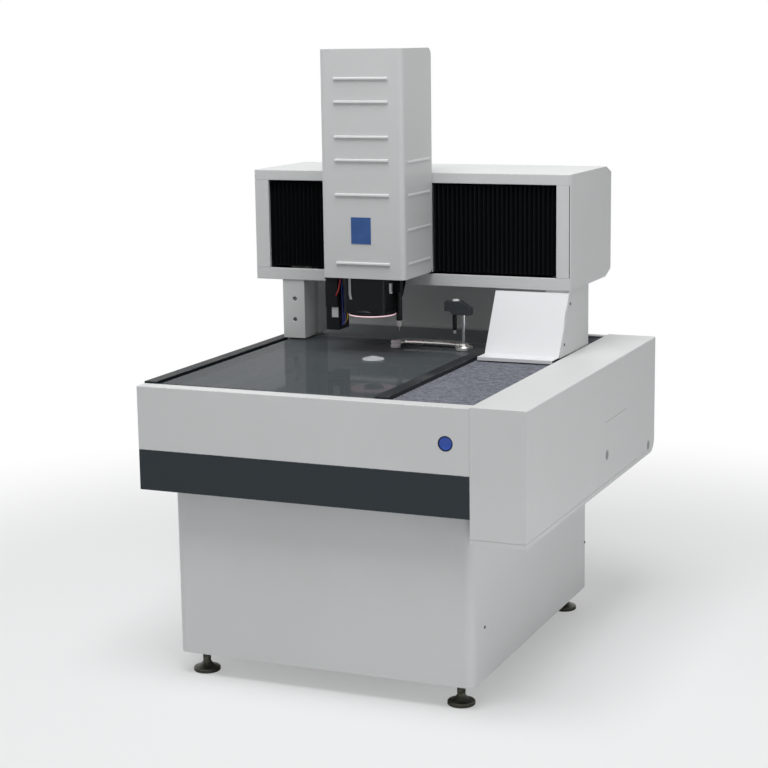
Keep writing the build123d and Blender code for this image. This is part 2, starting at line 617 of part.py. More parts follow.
def holder_slope(z):
    """Y of the holder's front face at a height."""
    return HOLDER_BEND + 77.5 * (z - HOLDER_Z0) / (HOLDER_Z1 - HOLDER_Z0)


def document_holder():
    """Folded sheet: slanted rest, lower shelf with a hem, top return and a side flange."""
    y0, z0, z1 = HOLDER_Y0, HOLDER_Z0, HOLDER_Z1
    top = holder_slope(z1)
    profile = [
        (y0, z0 - 10), (y0, z0), (HOLDER_BEND, z0), (top, z1), (LEG_Y0, z1), (LEG_Y0, z1 - 25),
        (LEG_Y0 - 2, z1 - 25), (LEG_Y0 - 2, z1 - 2), (top + 1.3, z1 - 2), (HOLDER_BEND + 1.4, z0 - 2),
        (y0 + 2, z0 - 2), (y0 + 2, z0 - 10),
    ]
    sheet = prism_x(profile, HOLDER_X0, LEG_R_X1 - FIT)
    lower, upper = z0 + 1, z1 - 50
    flange = [
        (holder_slope(lower) + 1, lower), (holder_slope(upper) + 1, upper),
        (holder_slope(upper) + 26, upper), (holder_slope(lower) + 26, lower),
    ]
    return sheet + prism_x(flange, LEG_R_X1 - FIT - 2, LEG_R_X1 - FIT)


def right_leg_cover():
    """Outer skin of the right leg, running forward under the document holder."""
    z0, z1 = GLASS_Z1 + 2, BR_Z0 - 1
    outline = [(LEG_Y1, z0), (LEG_Y1, z1), (LEG_Y0 - 2, z1), (holder_slope(z0) + 2, z0)]
    return prism_x(outline, LEG_R_X1, LEG_R_X1 + 2)


def holder_screws():
    """Two button-head screws through the right leg's skin."""
    heads = []
    for y, z in ((LEG_Y0 + 5, HOLDER_Z1 - 32), (LEG_Y0 - 47, HOLDER_Z0 + 24)):
        heads.append(rod_x(y, z, 4, LEG_R_X1 + 2, LEG_R_X1 + 3.2))
    return group(heads)


def way_covers():
    """Pleated fabric covers before and behind the right leg."""
    x0, x1 = RAIL_R_X1 + 1, SEAM_X - 2
    low, high = FABRIC_TOP - 10, FABRIC_TOP
    front = zigzag(STAGE_Y0 + 1, LEG_Y0 - FIT, FABRIC_PITCH, low, high, 3.0)
    rear = zigzag(LEG_Y1 + FIT, TABLE_Y1 - FLANGE_REAR - 1, FABRIC_PITCH, low, high, 3.0)
    return prism_x(front, x0, x1), prism_x(rear, x0, x1)


def bridge_beam():
    """Hollow cross beam."""
    beam = slab(BEAM_X0, BEAM_X1, BEAM_Y0, BEAM_Y1, BEAM_Z0, BEAM_Z1)
    w = BEAM_WALL
    core = slab(BEAM_X0 - 1, BEAM_X1 + 1, BEAM_Y0 + w, BEAM_Y1 - w, BEAM_Z0 + w, BEAM_Z1 - w)
    return beam - core


def x_guide_rails():
    """Two rails for the column on the beam and one for the back light on the lower beam."""
    made = []
    for z in (X_RAIL_LOW, X_RAIL_HIGH):
        outline = [(up, across) for across, up in rail_outline(z, BEAM_Y0, -RAIL_H, RAIL_W)]
        made.append(prism_x(outline, BEAM_X0 + 8, BEAM_X1 - 8))
    outline = [(up, across) for across, up in rail_outline(LOW_RAIL_Z, LOW_Y0, -RAIL_H, RAIL_W)]
    made.append(prism_x(outline, LOW_X0 + 5, LOW_X1 - 5))
    return group(made)


def bridge_top_cover():
    """Sheet over the top and down the rear, with the strip above the bellows."""
    y0, y1 = BR_Y0, BR_Y1
    z1 = BR_Z1
    drop = z1 - BR_CHAMFER_Z
    profile = [
        (y0 + 11, OPEN_Z1), (y0, OPEN_Z1), (y0, z1 - 1.5), (y0 + 1.5, z1),
        (y1 - BR_CHAMFER_Y, z1), (y1, drop), (y1, BR_Z0 + BR_CHAMFER_Z),
        (y1 - SKIN, BR_Z0 + BR_CHAMFER_Z), (y1 - SKIN, drop - 2), (y1 - BR_CHAMFER_Y - 0.5, z1 - SKIN),
        (y0 + SKIN, z1 - SKIN), (y0 + SKIN, OPEN_Z1 + SKIN), (y0 + 11, OPEN_Z1 + SKIN),
    ]
    return prism_x(profile, BR_X0 + SKIN, BR_X1 - SKIN)


def bridge_bottom_cover():
    """Sheet under the beam, notched for the two legs, with the strip below the bellows."""
    y0, y1 = BR_Y0, BR_Y1
    z0 = BR_Z0
    end = y1 - SKIN - FIT
    rise = BR_CHAMFER_Z * (BR_CHAMFER_Y - SKIN - FIT) / BR_CHAMFER_Y
    profile = [
        (y0 + 11, OPEN_Z0), (y0, OPEN_Z0), (y0, z0 + 1.5), (y0 + 1.5, z0),
        (y1 - BR_CHAMFER_Y, z0), (end, z0 + rise), (end, z0 + rise + SKIN),
        (y1 - BR_CHAMFER_Y - 0.5, z0 + SKIN), (y0 + SKIN, z0 + SKIN), (y0 + SKIN, OPEN_Z0 - SKIN),
        (y0 + 11, OPEN_Z0 - SKIN),
    ]
    sheet = prism_x(profile, BR_X0 + SKIN, BR_X1 - SKIN)
    for x0, x1 in ((LEG_L_X0 - 1, LEG_L_X1 + 1), (LEG_R_X0 - 1, BR_X1)):
        sheet = sheet - slab(x0, x1, BR_Y0 + SKIN, LEG_Y1 + 1, z0 - 5, z0 + SKIN + 1)
    return sheet


def bridge_end_cover(side):
    """End sheet with chamfered rear corners, the stile beside the bellows and four lugs."""
    y0, y1 = BR_Y0, BR_Y1
    z0, z1 = BR_Z0, BR_Z1
    outline = [
        (y0, z0 + 1.5), (y0 + 1.5, z0), (y1 - BR_CHAMFER_Y, z0), (y1, z0 + BR_CHAMFER_Z),
        (y1, z1 - BR_CHAMFER_Z), (y1 - BR_CHAMFER_Y, z1), (y0 + 1.5, z1), (y0, z1 - 1.5),
    ]
    if side < 0:
        plate = prism_x(outline, BR_X0, BR_X0 + SKIN)
        stile = slab(BR_X0 + SKIN - 1, OPEN_X0, y0, y0 + SKIN, OPEN_Z0 + FIT, OPEN_Z1 - FIT)
        edge = slab(OPEN_X0 - SKIN, OPEN_X0, y0, y0 + 11, OPEN_Z0 + FIT, OPEN_Z1 - FIT)
        lug0, lug1 = BR_X0 + SKIN - 1, BEAM_X0
    else:
        plate = prism_x(outline, BR_X1 - SKIN, BR_X1)
        stile = slab(OPEN_X1, BR_X1 - SKIN + 1, y0, y0 + SKIN, OPEN_Z0 + FIT, OPEN_Z1 - FIT)
        edge = slab(OPEN_X1, OPEN_X1 + SKIN, y0, y0 + 11, OPEN_Z0 + FIT, OPEN_Z1 - FIT)
        lug0, lug1 = BEAM_X1, BR_X1 - SKIN + 1
    cover = plate + stile + edge
    for y in (BEAM_Y0 + 8, BEAM_Y1 - 8):
        for z in (BEAM_Z0 + 8, BEAM_Z1 - 8):
            cover = cover + slab(lug0, lug1, y - 7, y + 7, z - 7, z + 7)
    return cover


def bellows():
    """Black pleated bellows either side of the column."""
    z0, z1 = OPEN_Z0 + 4, OPEN_Z1 - 4
    left = zigzag(OPEN_X0 + 1, COL_X0 - FIT, BELLOWS_PITCH, BELLOWS_Y0, BELLOWS_Y1, 2.0)
    right = zigzag(COL_X1 + FIT, OPEN_X1 - 1, BELLOWS_PITCH, BELLOWS_Y0, BELLOWS_Y1, 2.0)
    return prism_z(left, z0, z1), prism_z(right, z0, z1)


def x_bearing_blocks():
    """Four guide blocks behind the column's carriage plate."""
    made = []
    for z in (X_RAIL_LOW, X_RAIL_HIGH):
        outline = [(up, across) for across, up in bearing(z, BEAM_Y0, -1.0)]
        for x in (COL_X0 + 20, COL_X1 - 20 - BLOCK_L):
            made.append(prism_x(outline, x, x + BLOCK_L))
    return group(made)


def x_carriage():
    """Carriage box: back plate on the blocks, two cheeks and the boss for the column plate."""
    y1 = BEAM_Y0 - 5 - BLOCK_H + 1
    y0 = y1 - 14
    z0, z1 = OPEN_Z0 + 5, OPEN_Z1 - 5
    plate = slab(COL_X0, COL_X1, y0, y1, z0, z1)
    body = plate
    for x0 in (COL_X0, COL_X1 - 4):
        body = body + slab(x0, x0 + 4, COL_Y1, y0, z0, z1)
    x0, x1 = Z_RAILS[0] - 5, Z_RAILS[1] + 5
    body = body + slab(x0, x1, PLATE_Y1, y0, z0 + 34, z1 - 28)
    return body - slab(x0 + 20, x1 - 20, PLATE_Y1 + 8, y0 - 8, z0 + 54, z1 - 48)


def louvre_heights(rows):
    """Heights of the louvres, spread over the cover as its height changes."""
    return [COL_Z0 + row * (COL_Z1 - COL_Z0) / LOUVRE_FIELD for row in rows]


def louvre_front(z, x0, x1):
    """One pressed louvre on the front face: (hood, hollow) for a centre height."""
    top, low = z + LOUVRE_H / 2, z - LOUVRE_H / 2
    y = COL_Y0
    hood = [
        (y + 1, top), (y - 2, top - 1.2), (y - LOUVRE_OUT + 1, top - 5),
        (y - LOUVRE_OUT, low + 1), (y - LOUVRE_OUT, low), (y + 1, low),
    ]
    t = LOUVRE_SKIN
    void = [
        (y + SKIN + 1, top - 4), (y, top - 4), (y - LOUVRE_OUT + 1 + t, top - 7),
        (y - LOUVRE_OUT + t, low + 1), (y - LOUVRE_OUT + t, low - 1), (y, low - 1),
        (y, low), (y + SKIN + 1, low),
    ]
    return prism_x(hood, x0, x1), prism_x(void, x0 + t, x1 - t)


def louvre_side(z, y0, y1, side):
    """One pressed louvre on a side face."""
    top, low = z + LOUVRE_H / 2, z - LOUVRE_H / 2
    x = COL_X1 if side > 0 else COL_X0
    s = side
    t = LOUVRE_SKIN
    out = LOUVRE_OUT - 2
    hood = [
        (x - s, top), (x + 1.5 * s, top - 1.2), (x + s * (out - 1), top - 5),
        (x + s * out, low + 1), (x + s * out, low), (x - s, low),
    ]
    void = [
        (x - s * (SKIN + 1), top - 4), (x, top - 4), (x + s * (out - 1 - t), top - 7),
        (x + s * (out - t), low + 1), (x + s * (out - t), low - 1), (x, low - 1),
        (x, low), (x - s * (SKIN + 1), low),
    ]
    return prism_y(hood, y0, y1), prism_y(void, y0 + t, y1 - t)


def column_cover():
    """One-piece column cover: rounded shell, open below, with its banks of pressed louvres."""
    outer = slab(COL_X0, COL_X1, COL_Y0, COL_Y1, COL_Z0, COL_Z1)
    outer = fillet(outer.edges().filter_by(Axis.Z).sort_by(Axis.Y)[:2], COL_FRONT_R)
    outer = fillet(outer.edges().filter_by(Axis.X).sort_by(Axis.Y)[-2:], COL_REAR_R)
    s = SKIN
    inner = slab(COL_X0 + s, COL_X1 - s, COL_Y0 + s, COL_Y1 - s, COL_Z0 + s, COL_Z1 - s)
    inner = fillet(inner.edges().filter_by(Axis.Z).sort_by(Axis.Y)[:2], COL_FRONT_R - s)
    inner = fillet(inner.edges().filter_by(Axis.X).sort_by(Axis.Y)[-2:], COL_REAR_R - s)
    hoods = []
    voids = []
    x_mid = (COL_X0 + COL_X1) / 2
    for z in louvre_heights(FRONT_ROWS):
        hood, void = louvre_front(z, x_mid - LOUVRE_LEN / 2, x_mid + LOUVRE_LEN / 2)
        hoods.append(hood)
        voids.append(void)
    for side in (-1, 1):
        for z in louvre_heights(SIDE_ROWS):
            hood, void = louvre_side(z, COL_Y0 + 31, COL_Y1 - 17, side)
            hoods.append(hood)
            voids.append(void)
    shell = outer + hoods - inner - voids
    mouth = slab(COL_X0 + s, COL_X1 - s, COL_Y0 + 16, COL_Y1 - COL_REAR_R, COL_Z0 - 1, COL_Z0 + s + 1)
    front_mouth = slab(COL_X0 + 16, COL_X1 - 16, COL_Y0 + s, COL_Y0 + 17, COL_Z0 - 1, COL_Z0 + s + 1)
    window = slab(Z_RAILS[0] - 20, Z_RAILS[1] + 20, COL_Y1 - s - 1, COL_Y1 + 1, COL_Z0 + 24, OPEN_Z1 - 25)
    return shell - mouth - front_mouth - window


def badge_plate():
    """Plain plate on the front of the column, left blank."""
    above, below = louvre_heights(FRONT_ROWS)[-2:]
    x0, z0 = AXIS_X - 17, (above + below - BADGE_H) / 2 - 2.25
    plate = slab(x0, x0 + BADGE_W, COL_Y0 - 1.2, COL_Y0, z0, z0 + BADGE_H)
    return fillet(plate.edges().filter_by(Axis.Y), 3)


def z_base_plate():
    """Column back plate with its two vertical rails and the top tie to the cover."""
    x0, x1 = Z_RAILS[0] - 30, Z_RAILS[1] + 30
    z0, z1 = COL_Z0 + 24, COL_Z1 - 44
    plate = slab(x0, x1, PLATE_Y0, PLATE_Y1, z0, z1)
    plate = plate + slab(x0, x1, PLATE_Y0, COL_Y1 - SKIN, z1 - 10, z1)
    for x in Z_RAILS:
        outline = [(a, b) for a, b in rail_outline(x, PLATE_Y0 + 0.5, -RAIL_H, RAIL_W)]
        plate = plate + prism_z(outline, z0 + 8, z1 - 116)
    return plate


def z_slide():
    """Optics slide: plate with four guide blocks."""
    z0 = RING_Z + 59
    body = slab(Z_RAILS[0] - 25, Z_RAILS[1] + 25, SLIDE_Y0, SLIDE_Y1, z0, z0 + 311)
    for x in Z_RAILS:
        half = 22.0
        inner = RAIL_W / 2 + SLIDE
        roof = PLATE_Y0 - RAIL_H - SLIDE
        low = PLATE_Y0 - 5
        outline = [
            (x - half, low), (x - inner, low), (x - inner, roof), (x + inner, roof),
            (x + inner, low), (x + half, low), (x + half, SLIDE_Y1 - 1),
            (x - half, SLIDE_Y1 - 1),
        ]
        for z in (z0 + 167, z0 + 247):
            body = body + prism_z(outline, z, z + BLOCK_L)
    return body


def lens_housing():
    """Black optics housing with the objective barrel below it."""
    x0, x1 = AXIS_X - 62, AXIS_X + 62
    z0 = HOUSE_Z0
    box = slab(x0, x1, AXIS_Y - 62, SLIDE_Y0, z0, HOUSE_Z1)
    box = fillet(box.edges().filter_by(Axis.Z), 14)
    barrel = [
        (0, z0 - 12), (21, z0 - 12), (21, z0 - 16), (26, z0 - 16), (27, z0 - 15), (27, z0 + 1),
        (0, z0 + 1),
    ]
    return box + turned(barrel, AXIS_X, AXIS_Y)


def ring_light():
    """Ring light body under the housing."""
    r = RING_R
    z = RING_Z
    outline = [
        (30, z + 4), (r - 5, z + 4), (r - 5, z), (r - 2, z), (r, z + 3), (r, z + 14),
        (r - 6, z + 22), (30, z + 22),
    ]
    return turned(outline, AXIS_X, AXIS_Y)


def ring_diffuser():
    """Pale diffuser ring set in the ring light."""
    r = RING_R - 5 - FIT
    z = RING_Z
    outline = [(32, z), (r - 1, z), (r, z + 1), (r, z + 4), (31, z + 4), (31, z + 1)]
    return turned(outline, AXIS_X, AXIS_Y)


def zoom_camera():
    """Zoom tube with ribs and the square camera on top, clamped to the slide."""
    z0 = HOUSE_Z1
    z1 = z0 + 177
    tube = [
        (0, z0), (26, z0), (26, z0 + 33), (22, z0 + 33), (22, z0 + 95), (25, z0 + 95),
        (25, z1), (0, z1),
    ]
    body = turned(tube, AXIS_X, AXIS_Y)
    body = body + slab(AXIS_X - 30, AXIS_X + 30, AXIS_Y - 30, AXIS_Y + 30, z1, z1 + 84)
    for z in (z0 + 47, z0 + 113):
        body = body + slab(AXIS_X - 16, AXIS_X + 16, AXIS_Y + 14, SLIDE_Y0, z, z + 18)
    return body


def touch_probe():
    """Black touch probe in a clamp block on the slide."""
    x, y, z0 = PROBE_X, PROBE_Y, PROBE_Z
    bore_r = STYLUS_R + 0.4
    bore_z = z0 + 2 + STYLUS_TRAVEL + 0.5
    outline = [
        (0, bore_z), (bore_r, bore_z), (bore_r, z0), (7, z0), (8.5, z0 + 3), (8.5, z0 + 129), (0, z0 + 129),
    ]
    body = turned(outline, x, y)
    return body + slab(x - 12, x + 12, y - 9, SLIDE_Y0, z0 + 79, z0 + 111)


def probe_stylus():
    """Stylus module with its stem and ball, free to rise in the probe's bore."""
    top, tip = PROBE_Z + 2, STYLUS_TIP
    module = [
        (0, top), (STYLUS_R, top), (STYLUS_R, top - 13), (3, top - 16), (1.4, top - 16), (1.4, tip + 5.5),
        (2.4, tip + 4), (2.4, tip + 1.5), (1.2, tip), (0, tip),
    ]
    return turned(module, PROBE_X, PROBE_Y)


def side_module():
    """Black electronics module hung under the left side of the column."""
    x0, x1 = MODULE_X0, MODULE_X1
    y0, y1 = MODULE_Y0, MODULE_Y1
    body = slab(x0, x1, y0, y1, MODULE_Z0, MODULE_Z1)
    body = fillet(body.edges().filter_by(Axis.Z), 4)
    body = body + slab(x0 + 2, x1 - 2, y0 - 4, y0 + 1, MODULE_Z0 + 64, MODULE_Z1 - 13)
    plate = slab(x0, x1 + 6, y0 - 4, y1 + 60, MODULE_Z1, COL_Z0)
    low = slab(x1 - 0.5, PLUG_X, y0 + 12, y0 + 34, WIRE_Z - 8, WIRE_Z + 8)
    high = slab(x1 - 0.5, PLUG_X, y1 - 26, y1 - 6, MODULE_Z1 - 55, MODULE_Z1 - 35)
    label = slab(x0 + 18, x1 - 9, y0 - 1, y0 + 1, MODULE_Z0 + 26, MODULE_Z0 + 60)
    return body + plate + low + high + label


def wire(points, r, bends):
    """A round wire through the given points, its corners bent to a radius."""
    path = FilletPolyline(*points, radius=bends)
    return sweep(Plane(origin=path @ 0, z_dir=path % 0) * RegularPolygon(r, 8), path)


def sensor_wires():
    """Three short wires from the module's low plug up to its plate."""
    made = []
    end_x = MODULE_X1 + 6 - WIRE_R - FIT
    for i in range(3):
        y = MODULE_Y0 + 16 + 7 * i
        points = [(PLUG_X, y, WIRE_Z), (WIRE_X, y, WIRE_Z), (end_x, y - 9, MODULE_Z1)]
        made.append(wire(points, WIRE_R, 6))
    return group(made)


def backlight_carriage():
    """Guide block, arm and lamp housing that follow the column under the glass."""
    z = LOW_RAIL_Z
    outline = [(up, across) for across, up in bearing(z, LOW_Y0, -1.0)]
    body = prism_x(outline, AXIS_X - 30, AXIS_X + 30)
    y1 = LOW_Y0 - 5 - BLOCK_H + 1
    body = body + slab(AXIS_X - 24, AXIS_X + 24, AXIS_Y, y1 + 1, z + 6, z + 20)
    housing = [
        (0, z + 6), (33, z + 6), (36, z + 9), (36, LAMP_Z + 6), (30.3, LAMP_Z + 6),
        (30.3, LAMP_Z), (0, LAMP_Z),
    ]
    return body + turned(housing, AXIS_X, AXIS_Y)


def condenser_lens():
    """Domed condenser lens of the back light."""
    z = LAMP_Z
    outline = [(0, z), (30, z), (30, z + 8), (24, z + 12), (13, z + 14.6), (0, z + 15.4)]
    return turned(outline, AXIS_X, AXIS_Y)


def build():
    """Every named piece of the machine."""
    rail_left, rail_right = stage_rails()
    cover_front, cover_rear = way_covers()
    bellows_left, bellows_right = bellows()
    return {
        "pedestal_cabinet": pedestal(),
        "access_panel": access_panel(),
        "panel_screws": panel_screws(),
        "leveling_feet": feet(),
        "table_tray": table_tray(),
        "front_cover": front_cover(),
        "left_cover": left_cover(),
        "rear_cover": rear_cover(),
        "side_box": side_box(),
        "side_box_plugs": side_box_plugs(),
        "granite_base": granite_base(),
        "y_guide_rails": y_guide_rails(),
        "y_magnet_track": y_magnet_track(),
        "stage_frame": stage_frame(),
        "stage_glass": stage_glass(),
        "stage_rail_left": rail_left,
        "stage_rail_right": rail_right,
        "rear_deck": rear_deck(),
        "rear_guard": rear_guard(),
        "button_bezel": button_bezel(),
        "front_button": front_button(),
        "fixture_base": fixture_base(),
        "fixture_post": fixture_post(),
        "clamp_arm": clamp_arm(),
        "clamp_plunger": clamp_plunger(),
        "y_bearing_blocks": y_bearing_blocks(),
        "y_carriage_right": y_carriage_right(),
        "y_carriage_left": y_carriage_left(),
        "lower_beam": lower_beam(),
        "left_leg": left_leg(),
        "right_leg": right_leg(),
        "right_leg_cover": right_leg_cover(),
        "holder_screws": holder_screws(),
        "document_holder": document_holder(),
        "way_cover_front": cover_front,
        "way_cover_rear": cover_rear,
        "bridge_beam": bridge_beam(),
        "bridge_top_cover": bridge_top_cover(),
        "bridge_bottom_cover": bridge_bottom_cover(),
        "bridge_end_cover_left": bridge_end_cover(-1),
        "bridge_end_cover_right": bridge_end_cover(1),
        "bellows_left": bellows_left,
        "bellows_right": bellows_right,
        "x_guide_rails": x_guide_rails(),
        "x_bearing_blocks": x_bearing_blocks(),
        "x_carriage": x_carriage(),
        "column_cover": column_cover(),
        "badge_plate": badge_plate(),
        "z_base_plate": z_base_plate(),
        "z_slide": z_slide(),
        "lens_housing": lens_housing(),
        "ring_light": ring_light(),
        "ring_diffuser": ring_diffuser(),
        "zoom_camera": zoom_camera(),
        "touch_probe": touch_probe(),
        "probe_stylus": probe_stylus(),
        "side_module": side_module(),
        "sensor_wires": sensor_wires(),
        "backlight_carriage": backlight_carriage(),
        "condenser_lens": condenser_lens(),
    }


if __name__ == "__main__":
    os.makedirs("parts", exist_ok=True)
    for name, shape in build().items():
        export_step(shape, f"parts/{name}.step")
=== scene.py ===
"""Visual model of a moving-bridge optical measuring machine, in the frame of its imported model."""
import json
import logging
import math
from dataclasses import dataclass
from enum import Enum
from functools import lru_cache
from typing import Callable, Protocol, Sequence

import bpy
from mathutils import Matrix, Vector

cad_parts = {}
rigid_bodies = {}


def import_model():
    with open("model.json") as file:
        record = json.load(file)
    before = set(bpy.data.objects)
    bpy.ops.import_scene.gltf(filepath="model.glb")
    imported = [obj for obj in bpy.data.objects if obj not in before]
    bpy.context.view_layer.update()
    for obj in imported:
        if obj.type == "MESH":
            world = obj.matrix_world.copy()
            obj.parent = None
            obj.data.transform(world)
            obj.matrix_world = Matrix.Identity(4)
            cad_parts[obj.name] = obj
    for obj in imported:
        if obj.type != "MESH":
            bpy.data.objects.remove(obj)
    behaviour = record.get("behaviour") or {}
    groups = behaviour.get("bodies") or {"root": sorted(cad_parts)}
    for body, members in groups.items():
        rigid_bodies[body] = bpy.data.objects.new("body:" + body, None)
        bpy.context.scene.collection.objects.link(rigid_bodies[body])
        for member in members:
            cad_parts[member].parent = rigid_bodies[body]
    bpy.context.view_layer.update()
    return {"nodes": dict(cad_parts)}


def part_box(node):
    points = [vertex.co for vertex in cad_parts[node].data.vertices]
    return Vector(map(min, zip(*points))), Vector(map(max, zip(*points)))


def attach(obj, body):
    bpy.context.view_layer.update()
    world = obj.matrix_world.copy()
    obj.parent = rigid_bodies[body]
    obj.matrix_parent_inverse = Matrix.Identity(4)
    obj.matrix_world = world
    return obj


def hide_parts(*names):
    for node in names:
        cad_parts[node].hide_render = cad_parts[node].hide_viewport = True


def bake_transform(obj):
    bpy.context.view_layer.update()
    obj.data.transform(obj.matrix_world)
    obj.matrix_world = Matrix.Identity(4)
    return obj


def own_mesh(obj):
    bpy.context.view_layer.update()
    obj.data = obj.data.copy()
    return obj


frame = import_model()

Colour = tuple[float, float, float]
Point = tuple[float, float, float]
Spot = tuple[float, float]
Test = Callable[[Vector, Vector], bool]
MM = 0.001
UP: Point = (0, 0, 1)
WHITE: Colour = (1.0, 1.0, 1.0)
log = logging.getLogger("measuring_machine")


def tone(*screen: float) -> Colour:
    """Linear colour of three screen values from 0 to 255."""
    shares = [value / 255 for value in screen]
    return tuple(v / 12.92 if v <= 0.04045 else ((v + 0.055) / 1.055) ** 2.4 for v in shares)


def shade(colour: Colour, factor: float, lift: float = 0.0) -> Colour:
    """Colour times a factor, lifted and kept in range."""
    return tuple(min(1.0, value * factor + lift) for value in colour)


class Side(Enum):
    """Left or right of the machine, seen from where the operator stands."""
    LEFT = -1
    RIGHT = 1


class WireColour(Enum):
    """Sheaths of the wires beside the side module."""
    BLUE = (84, 98, 196)
    SKY = (104, 122, 208)
    NAVY = (38, 48, 104)
    YELLOW = (222, 190, 44)
    RED = (214, 44, 46)


def operator(operation: str, turned: bool = False) -> Callable[..., "Signal"]:
    """Method that adds a Math node.

    Args:
        operation: what the node works out.
        turned: whether the signal itself comes second.

    Returns:
        The method.
    """
    def work(self: "Signal", *others: "Signal | float") -> "Signal":
        """Add the node."""
        values = (*others, self) if turned else (self, *others)
        return self.graph.add("ShaderNodeMath", {"operation": operation}, dict(enumerate(values)))
    return work


class Signal:
    """Value of one socket, with arithmetic that adds Math nodes."""
    __add__ = __radd__ = operator("ADD")
    __mul__ = __rmul__ = operator("MULTIPLY")
    __sub__ = operator("SUBTRACT")
    __rsub__ = operator("SUBTRACT", turned=True)
    __pow__ = operator("POWER")
    sine = operator("SINE")
    size = operator("ABSOLUTE")
    above = operator("GREATER_THAN")
    highest = operator("MAXIMUM")

    def __init__(self, graph: "Graph", socket: bpy.types.NodeSocket) -> None:
        """Keep the graph and the socket."""
        self.graph, self.socket = graph, socket

    def fade(self, low: float, high: float) -> "Signal":
        """Smooth step from nought at low to one at high."""
        inputs = {"Value": self, "From Min": low, "From Max": high}
        return self.graph.add("ShaderNodeMapRange", {"interpolation_type": "SMOOTHSTEP"}, inputs)


class Graph:
    """Nodes of one material, or of the world."""

    def __init__(self, name: str, world: bool = False) -> None:
        """Make the material or the world.

        Args:
            name: its name.
            world: whether it is the world.
        """
        self.owner = (bpy.data.worlds if world else bpy.data.materials).new(name)
        self.owner.use_nodes = True
        self.tree = self.owner.node_tree
        output = next(node for node in self.tree.nodes if "Output" in node.bl_idname)
        self.surface = output.inputs["Surface"]
        self.shader = self.surface.links[0].from_node

    def join(self, value: object, socket: bpy.types.NodeSocket) -> None:
        """Link a signal to a socket, or set the socket to a plain value.

        Args:
            value: signal, number or colour.
            socket: the socket that takes it.
        """
        if isinstance(value, Signal):
            self.tree.links.new(value.socket, socket)
        else:
            socket.default_value = (*value, 1.0) if socket.type == "RGBA" else value

    def add(self, kind: str, settings: dict | None = None, inputs: dict | None = None,
            out: int | str = 0) -> Signal:
        """Add a node.

        Args:
            kind: type of the node.
            settings: its settings, set first.
            inputs: values or links of its sockets, by name or number.
            out: name or number of the output.

        Returns:
            The output's signal.
        """
        node = self.tree.nodes.new(kind)
        for key, value in (settings or {}).items():
            setattr(node, key, value)
        for key, value in (inputs or {}).items():
            self.join(value, node.inputs[key])
        return Signal(self, node.outputs[out])

    def place(self, stretch: Point = (1, 1, 1), turn: Point = (0, 0, 0)) -> Signal:
        """Object coordinates, stretched and turned.

        Args:
            stretch: factor on each axis.
            turn: angle about each axis.

        Returns:
            The coordinates.
        """
        spot = self.add("ShaderNodeTexCoord", out="Object")
        if stretch == (1, 1, 1) and not any(turn):
            return spot
        inputs = {"Vector": spot, "Scale": stretch, "Rotation": turn}
        return self.add("ShaderNodeMapping", None, inputs)

    def axes(self) -> tuple[Signal, ...]:
        """X, Y and Z of the object coordinates."""
        spot = self.place()
        return tuple(self.add("ShaderNodeSeparateXYZ", None, {0: spot}, i) for i in range(3))

    def noise(self, scale: float, detail: float = 3.0, stretch: Point = (1, 1, 1),
              warp: float = 0.0, turn: Point = (0, 0, 0)) -> Signal:
        """Noise over the object coordinates.

        Args:
            scale: cycles to the metre.
            detail: octaves.
            stretch: factor on each axis.
            warp: distortion.
            turn: angle about each axis.

        Returns:
            The noise, from 0 to 1.
        """
        inputs = {"Vector": self.place(stretch, turn), "Scale": scale, "Detail": detail,
                  "Distortion": warp}
        return self.add("ShaderNodeTexNoise", None, inputs)

    def cells(self, scale: float) -> Signal:
        """Distance in a field of cells, scale to the metre."""
        inputs = {"Vector": self.place(), "Scale": scale}
        return self.add("ShaderNodeTexVoronoi", None, inputs, "Distance")

    def mix(self, first: object, second: object, share: "Signal | float") -> Signal:
        """Colour between the first and the second, by the share of the second."""
        inputs = {0: share, 6: first, 7: second}
        return self.add("ShaderNodeMix", {"data_type": "RGBA"}, inputs, 2)

    def worn(self) -> Signal:
        """Mark that bevelled edges carry."""
        return self.add("ShaderNodeAttribute", {"attribute_name": "edge"}, out="Fac")

    def upward(self) -> Signal:
        """How far the surface faces up."""
        normal = self.add("ShaderNodeNewGeometry", out="Normal")
        return self.add("ShaderNodeSeparateXYZ", None, {0: normal}, 2)

    def bump(self, height: Signal, depth: float) -> Signal:
        """Normal of a height that varies by depth, in metres."""
        inputs = {"Height": height, "Distance": depth, "Strength": 1.0}
        return self.add("ShaderNodeBump", None, inputs, "Normal")

    def finish(self, **values: object) -> bpy.types.Material:
        """Set the shader's sockets, named with _ for a space.

        Args:
            values: value or signal of each socket.

        Returns:
            The material.
        """
        for key, value in values.items():
            self.join(value, self.shader.inputs[key.replace("_", " ")])
        return self.owner


class Finish(Protocol):
    """A finish that can make its material."""

    def material(self) -> bpy.types.Material:
        """The material."""


